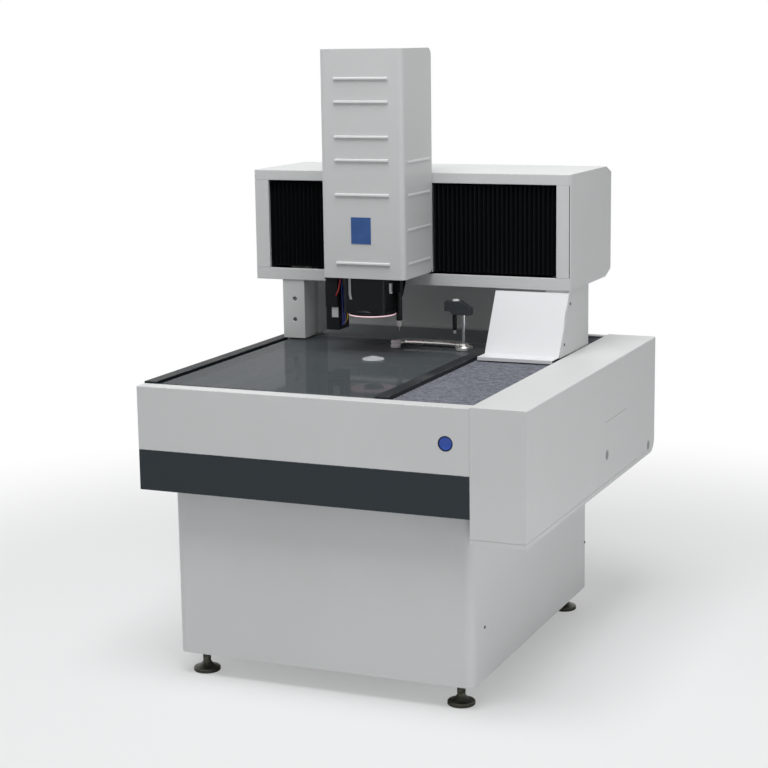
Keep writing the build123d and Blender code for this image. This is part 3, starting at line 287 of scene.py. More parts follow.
@dataclass(frozen=True)
class PowderCoat:
    """Satin paint on sheet steel, rubbed a little at its edges and dusty on top.

    Args:
        name: name of the material.
        colour: colour of the paint.
        rubbed: colour where an edge is rubbed.
        roughness: roughness of the paint.
        peel: depth of the orange peel, in metres.
        gloss: specular level.
        dust: how much dust lies on level faces.
        dust_colour: colour of the dust.
    """
    name: str
    colour: Colour
    rubbed: Colour
    roughness: float = 0.42
    peel: float = 0.00005
    gloss: float = 0.4
    dust: float = 0.06
    dust_colour: Colour = tone(226, 222, 214)

    @lru_cache
    def material(self) -> bpy.types.Material:
        """The material."""
        g = Graph(self.name)
        speck = g.noise(900, 2)
        scuff = g.noise(14, 6, (1, 1, 3), 0.8).fade(0.56, 0.74)
        paint = g.mix(shade(self.colour, 0.965), self.colour, g.noise(2.3, 4).fade(0.3, 0.7))
        paint = g.mix(paint, shade(self.colour, 1.06), speck.fade(0.45, 0.75) * 0.5)
        lying = g.upward().fade(0.75, 0.98) * g.noise(6, 5).fade(0.35, 0.8) * self.dust
        paint = g.mix(paint, self.dust_colour, lying)
        chips = g.worn() * g.noise(120, 4).fade(0.5, 0.62)
        paint = g.mix(paint, self.rubbed, chips * 0.55)
        rough = self.roughness + scuff * 0.06 + speck * 0.05 + lying * 1.5 - g.worn() * 0.05
        height = g.noise(420, 2) * 0.7 + g.noise(1500, 2) * 0.3
        return g.finish(Base_Color=paint, Roughness=rough, Normal=g.bump(height, self.peel),
                        Specular_IOR_Level=self.gloss)


@dataclass(frozen=True)
class Metal:
    """Bare, plated or anodised metal with a drawn or ground grain.

    Args:
        name: name of the material.
        colour: colour of the metal.
        bright: colour on rubbed edges.
        roughness: roughness of the surface.
        metallic: how metallic it is.
        grain: stretch of the grain on each axis.
        depth: depth of the grain, in metres.
        stain: brightness of the stained places.
    """
    name: str
    colour: Colour
    bright: Colour
    roughness: float = 0.3
    metallic: float = 1.0
    grain: Point = (40, 40, 900)
    depth: float = 0.00002
    stain: float = 0.82

    @lru_cache
    def material(self) -> bpy.types.Material:
        """The material."""
        g = Graph(self.name)
        lines = g.noise(1.0, 5, self.grain)
        cloud = g.noise(9, 5, warp=0.4)
        pits = g.noise(1400, 2).fade(0.55, 0.8)
        base = g.mix(shade(self.colour, self.stain), self.colour, cloud.fade(0.3, 0.65))
        base = g.mix(base, self.bright, g.worn() * g.noise(160, 3).fade(0.35, 0.6) * 0.6)
        base = g.mix(base, shade(self.colour, 0.8), lines.fade(0.5, 0.8) * 0.25)
        rough = (lines - 0.5) * 0.16 + self.roughness + cloud.fade(0.45, 0.75) * 0.07 + pits * 0.05
        return g.finish(Base_Color=base, Roughness=rough, Metallic=self.metallic,
                        Normal=g.bump(lines * 0.8 + pits * 0.2, self.depth))


@dataclass(frozen=True)
class Granite:
    """Black granite, ground flat, with grains of feldspar and mica."""
    name: str = "granite_black"
    ground: Colour = tone(38, 40, 42)
    fleck: Colour = tone(66, 70, 72)
    grain: Colour = tone(112, 116, 118)

    @lru_cache
    def material(self) -> bpy.types.Material:
        """The material."""
        g = Graph(self.name)
        fine = g.cells(420).fade(0.62, 0.2)
        coarse = g.cells(170).fade(0.28, 0.06)
        body = g.mix(self.ground, self.fleck, fine * g.noise(60, 3).fade(0.4, 0.7))
        body = g.mix(body, self.grain, coarse * g.noise(35, 2).fade(0.45, 0.6) * 0.8)
        rough = 0.34 - fine * 0.08 + g.noise(20, 4) * 0.08
        return g.finish(Base_Color=body, Roughness=rough, Normal=g.bump(g.noise(260, 4), 0.00004))


@dataclass(frozen=True)
class StageGlass:
    """Dark polished plate glass with a film of dust and wiping marks."""
    name: str = "stage_glass_dark"
    colour: Colour = tone(92, 98, 101)
    film: Colour = tone(150, 156, 156)
    clear: float = 0.42
    gloss: float = 0.012

    @lru_cache
    def material(self) -> bpy.types.Material:
        """The material."""
        g = Graph(self.name)
        wipe = g.noise(5, 6, (1, 5, 1), 1.2, (0, 0, 0.4)).fade(0.45, 0.8)
        dust = g.noise(700, 3).fade(0.66, 0.8)
        body = g.mix(self.colour, self.film, dust * 0.10 + wipe * 0.012 + g.worn() * 0.25)
        rough = 0.045 + wipe * 0.05 + dust * 0.15 + g.worn() * 0.2
        return g.finish(Base_Color=body, Roughness=rough, IOR=1.52, Alpha=1 - self.clear,
                        Specular_IOR_Level=self.gloss, Normal=g.bump(g.noise(3, 2), 0.00003))


@dataclass(frozen=True)
class WovenCloth:
    """Plain weave of coated thread.

    Args:
        name: name of the material.
        warp: colour of the threads across.
        weft: colour of the threads along.
        fluff: colour of the lint that lies on it.
        pitch: width of one thread, in metres.
    """
    name: str
    warp: Colour
    weft: Colour
    fluff: Colour = tone(178, 180, 182)
    pitch: float = 0.0016

    @lru_cache
    def material(self) -> bpy.types.Material:
        """The material."""
        g = Graph(self.name)
        x, y, _ = g.axes()
        turn = math.pi / self.pitch
        across, along = (x * turn).sine(), (y * turn).sine()
        over = (across * along).above(0.0)
        thread = across.size() * over + along.size() * (1 - over)
        slub = g.noise(190, 3, (0.35, 1.6, 1)).fade(0.38, 0.64)
        slub_along = g.noise(150, 3, (1.6, 0.35, 1)).fade(0.38, 0.64)
        cloth = g.mix(self.warp, self.weft, over * 0.25 + slub * 0.5 + slub_along * 0.25)
        # painted shade: darker in the hollows between the threads
        cloth = g.mix(cloth, shade(self.warp, 0.55), (1 - thread).fade(0.35, 1.0) * 0.8)
        cloth = g.mix(cloth, self.fluff, g.noise(9, 5).fade(0.5, 0.85) * 0.12)
        height = thread * 0.8 + g.noise(2500, 2) * 0.2
        return g.finish(Base_Color=cloth, Roughness=slub * 0.12 + 0.78, Sheen_Weight=0.06,
                        Specular_IOR_Level=0.25, Normal=g.bump(height, self.pitch * 0.3))


@dataclass(frozen=True)
class BellowsCloth:
    """Black coated cloth, with a painted highlight on the front crests of its folds.

    Args:
        name: name of the material.
        colour: colour of the cloth.
        crest_highlight: painted highlight on the fold crests nearest the operator.
        dust: colour of the dust on it.
        front: place of the front folds along Y, in metres.
        rib: width of a rib of the cloth, in metres.
    """
    name: str = "bellows_cloth"
    colour: Colour = tone(9, 11, 14)
    crest_highlight: Colour = tone(19, 23, 27)
    dust: Colour = tone(70, 70, 72)
    front: float = 0.2055
    rib: float = 0.0009

    @lru_cache
    def material(self) -> bpy.types.Material:
        """The material."""
        g = Graph(self.name)
        _, y, z = g.axes()
        # painted highlight: the front crests of the folds are paler, in patches
        rubbed = g.noise(50, 4, (1, 1, 0.2)).fade(0.25, 0.7)
        fold = y.fade(self.front + 0.004, self.front) * rubbed
        ribs = (z * (math.pi / self.rib)).sine().size()
        cloth = g.mix(self.colour, self.crest_highlight, fold * 0.75)
        cloth = g.mix(cloth, self.dust, g.noise(7, 5).fade(0.6, 0.9) * 0.05)
        return g.finish(Base_Color=cloth, Roughness=0.72 - fold * 0.15, Specular_IOR_Level=0.14,
                        Normal=g.bump(ribs * 0.6 + g.noise(900, 3) * 0.4, 0.00012))


@dataclass(frozen=True)
class Moulding:
    """Moulded plastic or enamel with a fine texture.

    Args:
        name: name of the material.
        colour: colour of the plastic.
        roughness: roughness of the surface.
        depth: depth of its texture, in metres.
        coat: weight of a clear coat.
        glow: strength of its light, where it is lit from behind.
        gloss: specular level.
    """
    name: str
    colour: Colour
    roughness: float = 0.4
    depth: float = 0.00003
    coat: float = 0.0
    glow: float = 0.0
    gloss: float = 0.5

    @lru_cache
    def material(self) -> bpy.types.Material:
        """The material."""
        g = Graph(self.name)
        cloud = g.noise(30, 4).fade(0.3, 0.7)
        grit = g.noise(1800, 2)
        body = g.mix(shade(self.colour, 0.9), self.colour, cloud)
        body = g.mix(body, shade(self.colour, 1.5, 0.03), g.worn() * cloud * 0.5)
        rough = (grit - 0.5) * 0.12 + self.roughness + cloud * 0.05
        if self.glow:
            g.finish(Emission_Color=body, Emission_Strength=self.glow)
        return g.finish(Base_Color=body, Roughness=rough, Coat_Weight=self.coat,
                        Specular_IOR_Level=self.gloss, Normal=g.bump(grit, self.depth))


@dataclass(frozen=True)
class Finishes:
    """Every finish of the machine, by the name of its material slot."""
    body_paint: Finish = PowderCoat("body_paint", tone(216, 218, 218), tone(236, 236, 236))
    white_paint: Finish = PowderCoat("white_paint", tone(233, 234, 236), tone(246, 246, 246), 0.38)
    band_paint: Finish = PowderCoat("band_paint", tone(46, 53, 58), tone(110, 116, 120), 0.46,
                                    0.00012, 0.25)
    rail_paint: Finish = PowderCoat("rail_paint", tone(27, 31, 35), tone(104, 108, 110), 0.5,
                                    0.0001, 0.2)
    # painted light: a paint lighter than the body paint, for the guard in shade under the beam
    guard_paint: Finish = PowderCoat("guard_paint", tone(236, 238, 238), tone(244, 244, 244), 0.5)
    # painted light: a paint much lighter than the band paint, for the deck in shade
    deck_paint: Finish = PowderCoat("deck_paint", tone(146, 151, 153), tone(140, 144, 146), 0.55,
                                    0.0001, 0.2)
    granite: Finish = Granite()
    guide_steel: Finish = Metal("guide_steel", tone(178, 180, 182), tone(214, 214, 214), 0.22,
                                grain=(30, 4, 30))
    magnet: Finish = Metal("magnet_track", tone(120, 122, 124), tone(170, 170, 170), 0.35,
                           grain=(300, 40, 300))
    black_anodised: Finish = Metal("black_anodised", tone(24, 26, 29), tone(120, 122, 124), 0.42,
                                   0.55, (60, 60, 700))
    aluminium: Finish = Metal("aluminium", tone(176, 179, 181), tone(214, 216, 218), 0.36, 0.9,
                              (50, 500, 50))
    zinc_steel: Finish = Metal("zinc_steel", tone(106, 108, 98), tone(160, 160, 150), 0.4, 0.85,
                               (90, 90, 400))
    foot_steel: Finish = Metal("foot_steel", tone(74, 74, 66), tone(150, 150, 138), 0.45, 0.8,
                               (90, 90, 500))
    chrome: Finish = Metal("chrome", tone(206, 208, 210), tone(235, 235, 235), 0.12, 1.0,
                           (20, 20, 60), 0.000004)
    polished_steel: Finish = Metal("polished_steel", tone(214, 212, 210), tone(236, 234, 232),
                                   0.27, 0.9, (60, 60, 60), 0.00001)
    stage_glass: Finish = StageGlass()
    bellows_cloth: Finish = BellowsCloth()
    cover_cloth: Finish = WovenCloth("cover_cloth", tone(84, 88, 97), tone(154, 157, 168))
    blue_plastic: Finish = Moulding("blue_plastic", tone(24, 74, 176), 0.3, 0.00002, 0.3)
    blue_enamel: Finish = Moulding("blue_enamel", tone(46, 90, 156), 0.22, 0.00001, 0.5)
    black_plastic: Finish = Moulding("black_plastic", tone(16, 18, 22), 0.5, gloss=0.22)
    arm_plastic: Finish = Moulding("arm_plastic", tone(44, 49, 52), 0.45, 0.00006)
    grey_plastic: Finish = Moulding("grey_plastic", tone(150, 152, 152), 0.5)
    label_film: Finish = Moulding("label_film", tone(214, 216, 218), 0.4)
    diffuser: Finish = Moulding("ring_diffuser", tone(236, 200, 208), 0.4, 0.00002, glow=1.0)
    condenser_glass: Finish = Moulding("condenser_glass", tone(250, 252, 255), 0.15, 0.00001,
                                       0.3, 2.1)
    # painted highlight: white finish on the polished foot, the chrome screw and the steel stylus
    tip_ceramic: Finish = Moulding("tip_ceramic", tone(224, 222, 224), 0.3, 0.00001, 0.4)
    lens_glass: Finish = Moulding("lens_glass", tone(20, 18, 30), 0.06, 0.000002, 1.0)


FINISH = Finishes()


def rest() -> None:
    """Leave edit mode and deselect everything."""
    if bpy.context.mode != "OBJECT":
        bpy.ops.object.mode_set(mode="OBJECT")
    bpy.ops.object.select_all(action="DESELECT")


def between(low: Sequence[float], high: Sequence[float]) -> Matrix:
    """Matrix that fits a unit shape at the origin between two corners."""
    middle = [(a + b) / 2 for a, b in zip(low, high)]
    return Matrix.Translation(middle) @ Matrix.Diagonal([b - a for a, b in zip(low, high)] + [1])


class Shape:
    """A mesh in the making, shaped with edit mode operators and applied modifiers."""

    def __init__(self, obj: bpy.types.Object, name: str) -> None:
        """Keep the object under its name."""
        self.obj = obj
        obj.name = obj.data.name = name

    @classmethod
    def block(cls, name: str, low: Sequence[float], high: Sequence[float]) -> "Shape":
        """Block between two corners.

        Args:
            name: name of the piece.
            low: lowest corner.
            high: highest corner.

        Returns:
            The shape.
        """
        rest()
        bpy.ops.mesh.primitive_cube_add(size=1)
        return cls(bpy.context.object, name).lay(between(low, high))

    @classmethod
    def lathe(cls, name: str, profile: Sequence[Spot], foot: Point, steps: int = 48,
              axis: Point = UP) -> "Shape":
        """Profile of radius and height, spun round an axis.

        Args:
            name: name of the piece.
            profile: radius and height of each point, in millimetres.
            foot: point where the height is nought, in metres.
            steps: steps of the spin.
            axis: direction of the axis.

        Returns:
            The shape.
        """
        rest()
        up = Vector(axis).normalized() * MM
        out = up.orthogonal().normalized() * MM
        radius, height = profile[0]
        start = Vector(foot) + out * radius + up * height
        bpy.ops.mesh.primitive_plane_add(size=0.01, location=start)
        bpy.ops.object.transform_apply(location=True, rotation=True, scale=True)
        bpy.ops.object.mode_set(mode="EDIT")
        bpy.ops.mesh.select_mode(type="VERT")
        bpy.ops.mesh.select_all(action="SELECT")
        bpy.ops.mesh.merge(type="CENTER")
        for (r0, h0), (r1, h1) in zip(profile, profile[1:]):
            step = out * (r1 - r0) + up * (h1 - h0)
            bpy.ops.mesh.extrude_vertices_move(TRANSFORM_OT_translate={"value": step})
        bpy.ops.mesh.select_all(action="SELECT")
        bpy.ops.mesh.spin(steps=steps, angle=math.tau, center=foot, axis=axis)
        bpy.ops.mesh.select_all(action="SELECT")
        bpy.ops.mesh.remove_doubles(threshold=2e-6)
        bpy.ops.mesh.normals_make_consistent(inside=False)
        bpy.ops.object.mode_set(mode="OBJECT")
        return cls(bpy.context.object, name)

    @classmethod
    def tube(cls, name: str, route: Sequence[Point], radius: float, flat: float = 0.0,
             order: int = 3, steps: int = 12) -> "Shape":
        """Rod along a smooth curve, round or wider than it is high.

        Args:
            name: name of the piece.
            route: points of the curve's control polygon.
            radius: half its height.
            flat: half of what it is wider than high.
            order: order of the curve.
            steps: steps between two points.

        Returns:
            The shape.
        """
        rest()
        bpy.ops.curve.primitive_nurbs_path_add()
        curve = bpy.context.object.data
        curve.splines.clear()
        spline = curve.splines.new("NURBS")
        spline.points.add(len(route) - 1)
        for point, place in zip(spline.points, route):
            point.co = (*place, 1.0)
            point.tilt = math.pi / 2 if flat else 0.0
        spline.order_u, spline.resolution_u, spline.use_endpoint_u = order, steps, True
        curve.twist_mode = "Z_UP" if flat else "MINIMUM"
        curve.extrude, curve.bevel_depth, curve.bevel_resolution = flat, radius, 4
        curve.use_fill_caps = True
        bpy.ops.object.convert(target="MESH")
        return cls(bpy.context.object, name)

    @classmethod
    def of_node(cls, name: str, node: str) -> "Shape":
        """Merged copy of a CAD node, its flat faces joined.

        Args:
            name: name of the piece.
            node: name of the CAD node.

        Returns:
            The shape.
        """
        mesh = frame["nodes"][node].data.copy()
        mesh.materials.clear()
        shape = cls(bpy.data.objects.new(name, mesh), name)
        bpy.context.scene.collection.objects.link(shape.obj)
        shape.pick(lambda p, n: True, "VERT")
        bpy.ops.mesh.remove_doubles(threshold=1e-6)
        bpy.ops.mesh.dissolve_limited(angle_limit=math.radians(0.6))
        bpy.ops.object.mode_set(mode="OBJECT")
        return shape

    def activate(self) -> None:
        """Select this shape alone."""
        rest()
        self.obj.select_set(True)
        bpy.context.view_layer.objects.active = self.obj

    def pick(self, test: Test, kind: str = "FACE") -> "Shape":
        """Select the faces or points that pass a test, and enter edit mode.

        Args:
            test: takes the place and the normal.
            kind: FACE or VERT.

        Returns:
            This shape.
        """
        self.activate()
        mesh = self.obj.data
        for items in (mesh.vertices, mesh.edges, mesh.polygons):
            items.foreach_set("select", [False] * len(items))
        if kind == "FACE":
            for face in mesh.polygons:
                face.select = bool(test(face.center, face.normal))
        else:
            for point in mesh.vertices:
                point.select = bool(test(point.co, point.normal))
        bpy.context.tool_settings.mesh_select_mode = (kind == "VERT", False, kind == "FACE")
        bpy.ops.object.mode_set(mode="EDIT")
        return self

    def extrude(self, move: Sequence[float]) -> "Shape":
        """Extrude what is selected."""
        bpy.ops.mesh.extrude_region_move(TRANSFORM_OT_translate={"value": move})
        return self

    def inset(self, width: float) -> "Shape":
        """Inset the selected faces."""
        bpy.ops.mesh.inset(thickness=width, depth=0.0, use_even_offset=True)
        return self

    def shift(self, move: Sequence[float]) -> "Shape":
        """Move what is selected."""
        bpy.ops.transform.translate(value=move)
        return self

    def pull(self, *moves: tuple[Test, Sequence[float]]) -> "Shape":
        """Move points, one move after another.

        Args:
            moves: test of the points and their move.

        Returns:
            This shape.
        """
        for test, move in moves:
            self.pick(test, "VERT").shift(move)
        return self

    def shrink(self, factor: Sequence[float], middle: Sequence[float]) -> "Shape":
        """Resize what is selected about a point."""
        bpy.ops.transform.resize(value=factor, center_override=middle)
        return self

    def cut(self, place: Point, normal: Point) -> "Shape":
        """Cut every face along a plane, and keep both sides.

        Args:
            place: a point of the plane.
            normal: its normal.

        Returns:
            This shape.
        """
        self.pick(lambda p, n: True)
        bpy.ops.mesh.bisect(plane_co=place, plane_no=normal)
        return self

    def lay(self, matrix: Matrix) -> "Shape":
        """Move the shape, its object back at the origin.

        Args:
            matrix: the move.

        Returns:
            This shape.
        """
        self.activate()
        self.obj.matrix_world = matrix
        bpy.ops.object.transform_apply(location=True, rotation=True, scale=True)
        return self

    def modify(self, kind: str, **settings: object) -> "Shape":
        """Add a modifier and apply it.

        Args:
            kind: type of the modifier.
            settings: its settings.

        Returns:
            This shape.
        """
        self.activate()
        modifier = self.obj.modifiers.new(kind.title(), kind)
        for key, value in settings.items():
            setattr(modifier, key, value)
        bpy.ops.object.modifier_apply(modifier=modifier.name)
        return self

    def join(self, *others: "Shape") -> "Shape":
        """Join other shapes into this one.

        Args:
            others: the other shapes.

        Returns:
            This shape.
        """
        self.activate()
        for other in others:
            other.obj.select_set(True)
        bpy.ops.object.join()
        return self

    def copies(self, moves: Sequence[Point]) -> "Shape":
        """Copy this shape to each place, and join the copies.

        Args:
            moves: move of each copy; the first is that of the shape itself.

        Returns:
            This shape, with its copies.
        """
        others = []
        for move in moves[1:]:
            twin = self.obj.copy()
            twin.data = self.obj.data.copy()
            twin.data.transform(Matrix.Translation(move))
            bpy.context.scene.collection.objects.link(twin)
            others.append(Shape(twin, f"{self.obj.name}_copy"))
        self.obj.data.transform(Matrix.Translation(moves[0]))
        return self.join(*others)

    def soften(self, edge: float, segments: int = 2, angle: float = 38.0) -> "Shape":
        """Bevel the sharp edges and mark the bevels, so that a finish can wear there.

        Args:
            edge: width of the bevel, in metres.
            segments: faces across it.
            angle: least angle of a sharp edge, in degrees.

        Returns:
            This shape.
        """
        mesh = self.obj.data
        mesh.materials.clear()
        mesh.materials.append(None)
        mesh.materials.append(None)
        self.modify("BEVEL", width=edge, segments=segments, limit_method="ANGLE",
                    angle_limit=math.radians(angle), material=1, use_clamp_overlap=True)
        marks = [float(face.material_index == 1) for face in mesh.polygons]
        mesh.attributes.new("edge", "FLOAT", "FACE").data.foreach_set("value", marks)
        mesh.polygons.foreach_set("material_index", [0] * len(marks))
        mesh.materials.clear()
        return self

    def dress(self, finish: Finish, slot: str, body: str | None, *nodes: str,
              smooth: float = 50.0) -> bpy.types.Object:
        """Give the finished mesh its shading, finish and body.

        Args:
            finish: the finish.
            slot: the record's material slot; not used.
            body: the body that it rides on, or None, which leaves it on no body.
            nodes: the CAD nodes that it stands for.
            smooth: edges below this angle are shaded smooth, in degrees.

        Returns:
            The finished object.
        """
        self.activate()
        bpy.ops.object.shade_smooth_by_angle(angle=math.radians(smooth))
        self.modify("WEIGHTED_NORMAL", keep_sharp=True, weight=80)
        self.obj.data.materials.clear()
        self.obj.data.materials.append(finish.material())
        if body:
            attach(self.obj, body)
        if nodes:
            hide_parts(*nodes)
        return self.obj


@dataclass
class Assembly:
    """A group of pieces that is built together.

    Args:
        body: body that the pieces ride on.
        edge: width of the broken edges, in metres.
    """
    body: str = "base"
    edge: float = 0.0010

    def soft(self, slot: str, *nodes: str, finish: Finish | None = None,
             edge: float | None = None) -> None:
        """Copy CAD nodes, break their edges and give them their finish.

        Args:
            slot: the record's material slot.
            nodes: names of the CAD nodes.
            finish: another finish than the slot's own.
            edge: another width of the broken edges.
        """
        for node in nodes:
            shape = Shape.of_node(f"{node}_finished", node).soften(edge or self.edge)
            shape.dress(finish or getattr(FINISH, slot), slot, self.body, node)

    def coat(self, slot: str, *nodes: str) -> None:
        """Give CAD nodes that stay their slot's material.

        Args:
            slot: the record's material slot.
            nodes: names of the CAD nodes.
        """
        for node in nodes:
            mesh = frame["nodes"][node].data
            mesh.materials.clear()
            mesh.materials.append(getattr(FINISH, slot).material())

    def build(self) -> None:
        """Make and dress the pieces."""
        raise NotImplementedError


@dataclass
class Cabinet(Assembly):
    """Pedestal with its service panel, screws and levelling feet.

    Args:
        foot_x: places of the feet along X.
        foot_y: places of the feet along Y.
        pad: radius of a foot's pad, in millimetres.
        stem: radius of its thread, in millimetres.
        core: radius between the threads, in millimetres.
        thread: lower and upper end of the thread, in millimetres.
        pitch: pitch of the thread, in millimetres.
        nut: profile of the lock nut, in millimetres.
    """
    edge: float = 0.0016
    foot_x: Spot = (-0.379, 0.335)
    foot_y: Spot = (-0.467, 0.368)
    pad: float = 35
    stem: float = 11
    core: float = 9.8
    thread: Spot = (30, 106)
    pitch: float = 2.5
    nut: tuple[Spot, ...] = ((11.2, 46), (16.5, 46), (18.2, 47.5), (18.2, 54.5), (16.5, 56),
                             (11.2, 56), (11.2, 46))

    def build(self) -> None:
        """Make the pedestal and its feet."""
        self.soft("body_paint", "pedestal_cabinet")
        self.soft("body_paint", "access_panel", edge=0.0008)
        self.soft("zinc_steel", "panel_screws", edge=0.0003)
        self.feet()

    def feet(self) -> None:
        """Four feet, each a pad with a ball neck, a threaded stem and a lock nut."""
        r, (z, top) = self.pad, self.thread
        profile = [(0, 0), (r - 2, 0), (r, 2), (r, 8.5), (r - 1.5, 10.5), (24, 13), (17.5, 16.5),
                   (12.5, 22.5), (10.5, 26)]
        while z < top - 4:
            profile += [(self.core, z), (self.stem, z + self.pitch / 2)]
            z += self.pitch
        profile += [(self.core, top), (0, top)]
        foot = Shape.lathe("leveling_feet_turned", profile, (0, 0, 0), 40)
        foot.join(Shape.lathe("lock_nut", self.nut, (0, 0, 0), 6))
        foot.copies([(x, y, 0) for x in self.foot_x for y in self.foot_y])
        foot.soften(0.0003, 1, 50)
        foot.dress(FINISH.foot_steel, "zinc_steel", self.body, "leveling_feet", smooth=28)


@dataclass
class Table(Assembly):
    """Sheet metal covers round the granite, the side box, rails, deck and guard."""
    edge: float = 0.0014
    thin: float = 0.0008

    def build(self) -> None:
        """Make the covers."""
        self.soft("body_paint", "front_cover", "left_cover", "rear_cover", "side_box")
        self.soft("band_paint", "table_tray")
        self.soft("body_paint", "side_box_plugs", finish=FINISH.grey_plastic, edge=0.0006)
        self.soft("black_anodised", "stage_rail_left", "stage_rail_right",
                  finish=FINISH.rail_paint, edge=self.thin)
        # painted light: the deck gets a lightened copy of the band paint, making up for its shade
        self.soft("band_paint", "rear_deck", finish=FINISH.deck_paint, edge=self.thin)
        # painted light: the guard gets a lightened paint that makes up for its shaded place under
        # the beam
        self.soft("body_paint", "rear_guard", finish=FINISH.guard_paint, edge=self.thin)


@dataclass
class Stage(Assembly):
    """Granite base, guide rails, stage frame and its dark glass."""

    def build(self) -> None:
        """Make the stage."""
        self.soft("stage_glass", "stage_glass", edge=0.0009)
        self.soft("black_anodised", "stage_frame", edge=0.0006)
        self.coat("granite", "granite_base")
        self.coat("guide_steel", "y_guide_rails")
        self.coat("magnet", "y_magnet_track")


@dataclass
class PushButton(Assembly):
    """Blue push button in its ring on the front of the table; radius in millimetres."""
    edge: float = 0.0008
    x: float = 0.341
    z: float = 0.684
    radius: float = 16.5

    def build(self) -> None:
        """Make the ring and the cap."""
        self.soft("black_plastic", "button_bezel")
        r = self.radius
        low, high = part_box("front_button")
        back = (high.y - low.y) / MM
        profile = [(0, back), (r * 0.8, back), (r * 0.8, 4), (r - 0.4, 3.5), (r, 2.5), (r, 1.2),
                   (r - 1, 0.3), (r - 2, 0), (r - 4, 0.4), (r * 0.5, 1.1), (r * 0.25, 1.4),
                   (0, 1.5)]
        cap = Shape.lathe("front_button_cap", profile, (self.x, low.y, self.z), 56, (0, 1, 0))
        cap.dress(FINISH.blue_plastic, "blue_plastic", "button", "front_button", smooth=40)


@dataclass
class Fixture(Assembly):
    """Work-holding clamp on the glass: base, post, arm and plunger; profiles in millimetres."""
    glass: float = 0.775
    post: Spot = (0.104, 0.176)
    foot: Spot = (-0.094, 0.160)
    post_cut: float = 0.022
    fine: float = 0.0004
    tip_reach: float = 0.027
    tip_low: float = 0.0448
    bar_middle: float = 0.0105
    bar_radius: float = 0.0085
    bar_flat: float = 0.0050
    arm_low: float = 0.874
    head_low: Point = (-0.039, -0.013, 0)
    head_high: Point = (0.023, 0.013, 0.038)
    ear_reach: float = 0.014
    route: tuple[Spot, ...] = ((-0.094, 0.160), (-0.094, 0.196), (-0.072, 0.207),
                               (-0.010, 0.209), (0.082, 0.207), (0.104, 0.184))
    tip_profile: tuple[Spot, ...] = ((0, 0), (3, 0), (4.6, 1.2), (4.9, 3), (4.9, 9.5), (0, 9.5))
    foot_profile: tuple[Spot, ...] = (
        (0, 0), (12.5, 0), (14, 1.5), (14, 7.5), (11.5, 9), (11.5, 11.5), (13.5, 13),
        (13.5, 18.5), (12, 20), (0, 20))
    boss_profile: tuple[Spot, ...] = (
        (5.4, 0), (23.5, 0), (25, 1.5), (25, 9.5), (23.5, 11), (13.5, 12), (11.5, 13.5),
        (10.5, 18), (5.4, 18), (5.4, 0))
    screw_profile: tuple[Spot, ...] = (
        (0, 37.2), (9.2, 37.2), (10, 38), (9.6, 40.8), (7, 42.4), (3.4, 42.4), (3, 39.4), (0, 39.4))

    def build(self) -> None:
        """Make the clamp."""
        self.base()
        post = Shape.of_node("fixture_post_cut", "fixture_post")
        post.pull((lambda p, n: p.z > 0.880, (0, 0, -self.post_cut)))
        post.soften(self.fine).dress(FINISH.chrome, "chrome", self.body, "fixture_post")
        self.arm()
        plunger = Shape.of_node("clamp_plunger_finished", "clamp_plunger").soften(self.fine)
        plunger.dress(FINISH.black_plastic, "black_anodised", "plunger", "clamp_plunger")
        x, y = self.post
        place = (x - self.tip_reach, y, self.glass + self.tip_low)
        tip = Shape.lathe("plunger_tip", self.tip_profile, place, 32)
        tip.dress(FINISH.aluminium, "black_anodised", "plunger", smooth=35)

    def base(self) -> None:
        """Polished base: a curved bar from a round foot to the boss of the post."""
        foot = Shape.lathe("fixture_foot", self.foot_profile, (*self.foot, self.glass))
        boss = Shape.lathe("fixture_base_turned", self.boss_profile, (*self.post, self.glass))
        middle = self.glass + self.bar_middle
        boss.join(Shape.tube("bar", [(x, y, middle) for x, y in self.route], self.bar_radius,
                             self.bar_flat, 4, 10))
        boss.dress(FINISH.polished_steel, "polished_steel", self.body, "fixture_base", smooth=35)
        # painted highlight: the polished foot gets a white finish that stands in for its bright
        # reflections
        foot.dress(FINISH.tip_ceramic, "polished_steel", self.body, smooth=35)

    def arm(self) -> None:
        """Moulded clamp head over the post, with an ear on the left and a screw on top, painted
        white for its highlight.
        """
        (x, y), z = self.post, self.arm_low
        middle = Vector((x, y, z))
        head = Shape.block("clamp_arm_moulded", middle + Vector(self.head_low),
                           middle + Vector(self.head_high))
        head.modify("SUBSURF", subdivision_type="SIMPLE", levels=2, render_levels=2)
        head.pull((lambda p, n: p.z > z + 0.036 and p.x > x + 0.004, (0, 0, -0.011)),
                  (lambda p, n: p.z > z + 0.026 and p.x > x + 0.020, (-0.001, 0, -0.008)),
                  (lambda p, n: p.z < z + 0.002 and p.x < x - 0.036, (0.005, 0, 0.004)))
        head.pick(lambda p, n: n.x < -0.9 and p.z > z + 0.013).extrude((-self.ear_reach, 0, 0))
        head.soften(0.0035, 3, 20)
        screw = Shape.lathe("arm_screw", self.screw_profile, (x - 0.022, y - 0.002, z), 32)
        head.dress(FINISH.arm_plastic, "black_anodised", "clamp", "clamp_arm", smooth=40)
        # painted highlight: the chrome screw gets a white finish for the bright patch on top of the
        # arm
        screw.dress(FINISH.tip_ceramic, "chrome", "clamp", smooth=35)


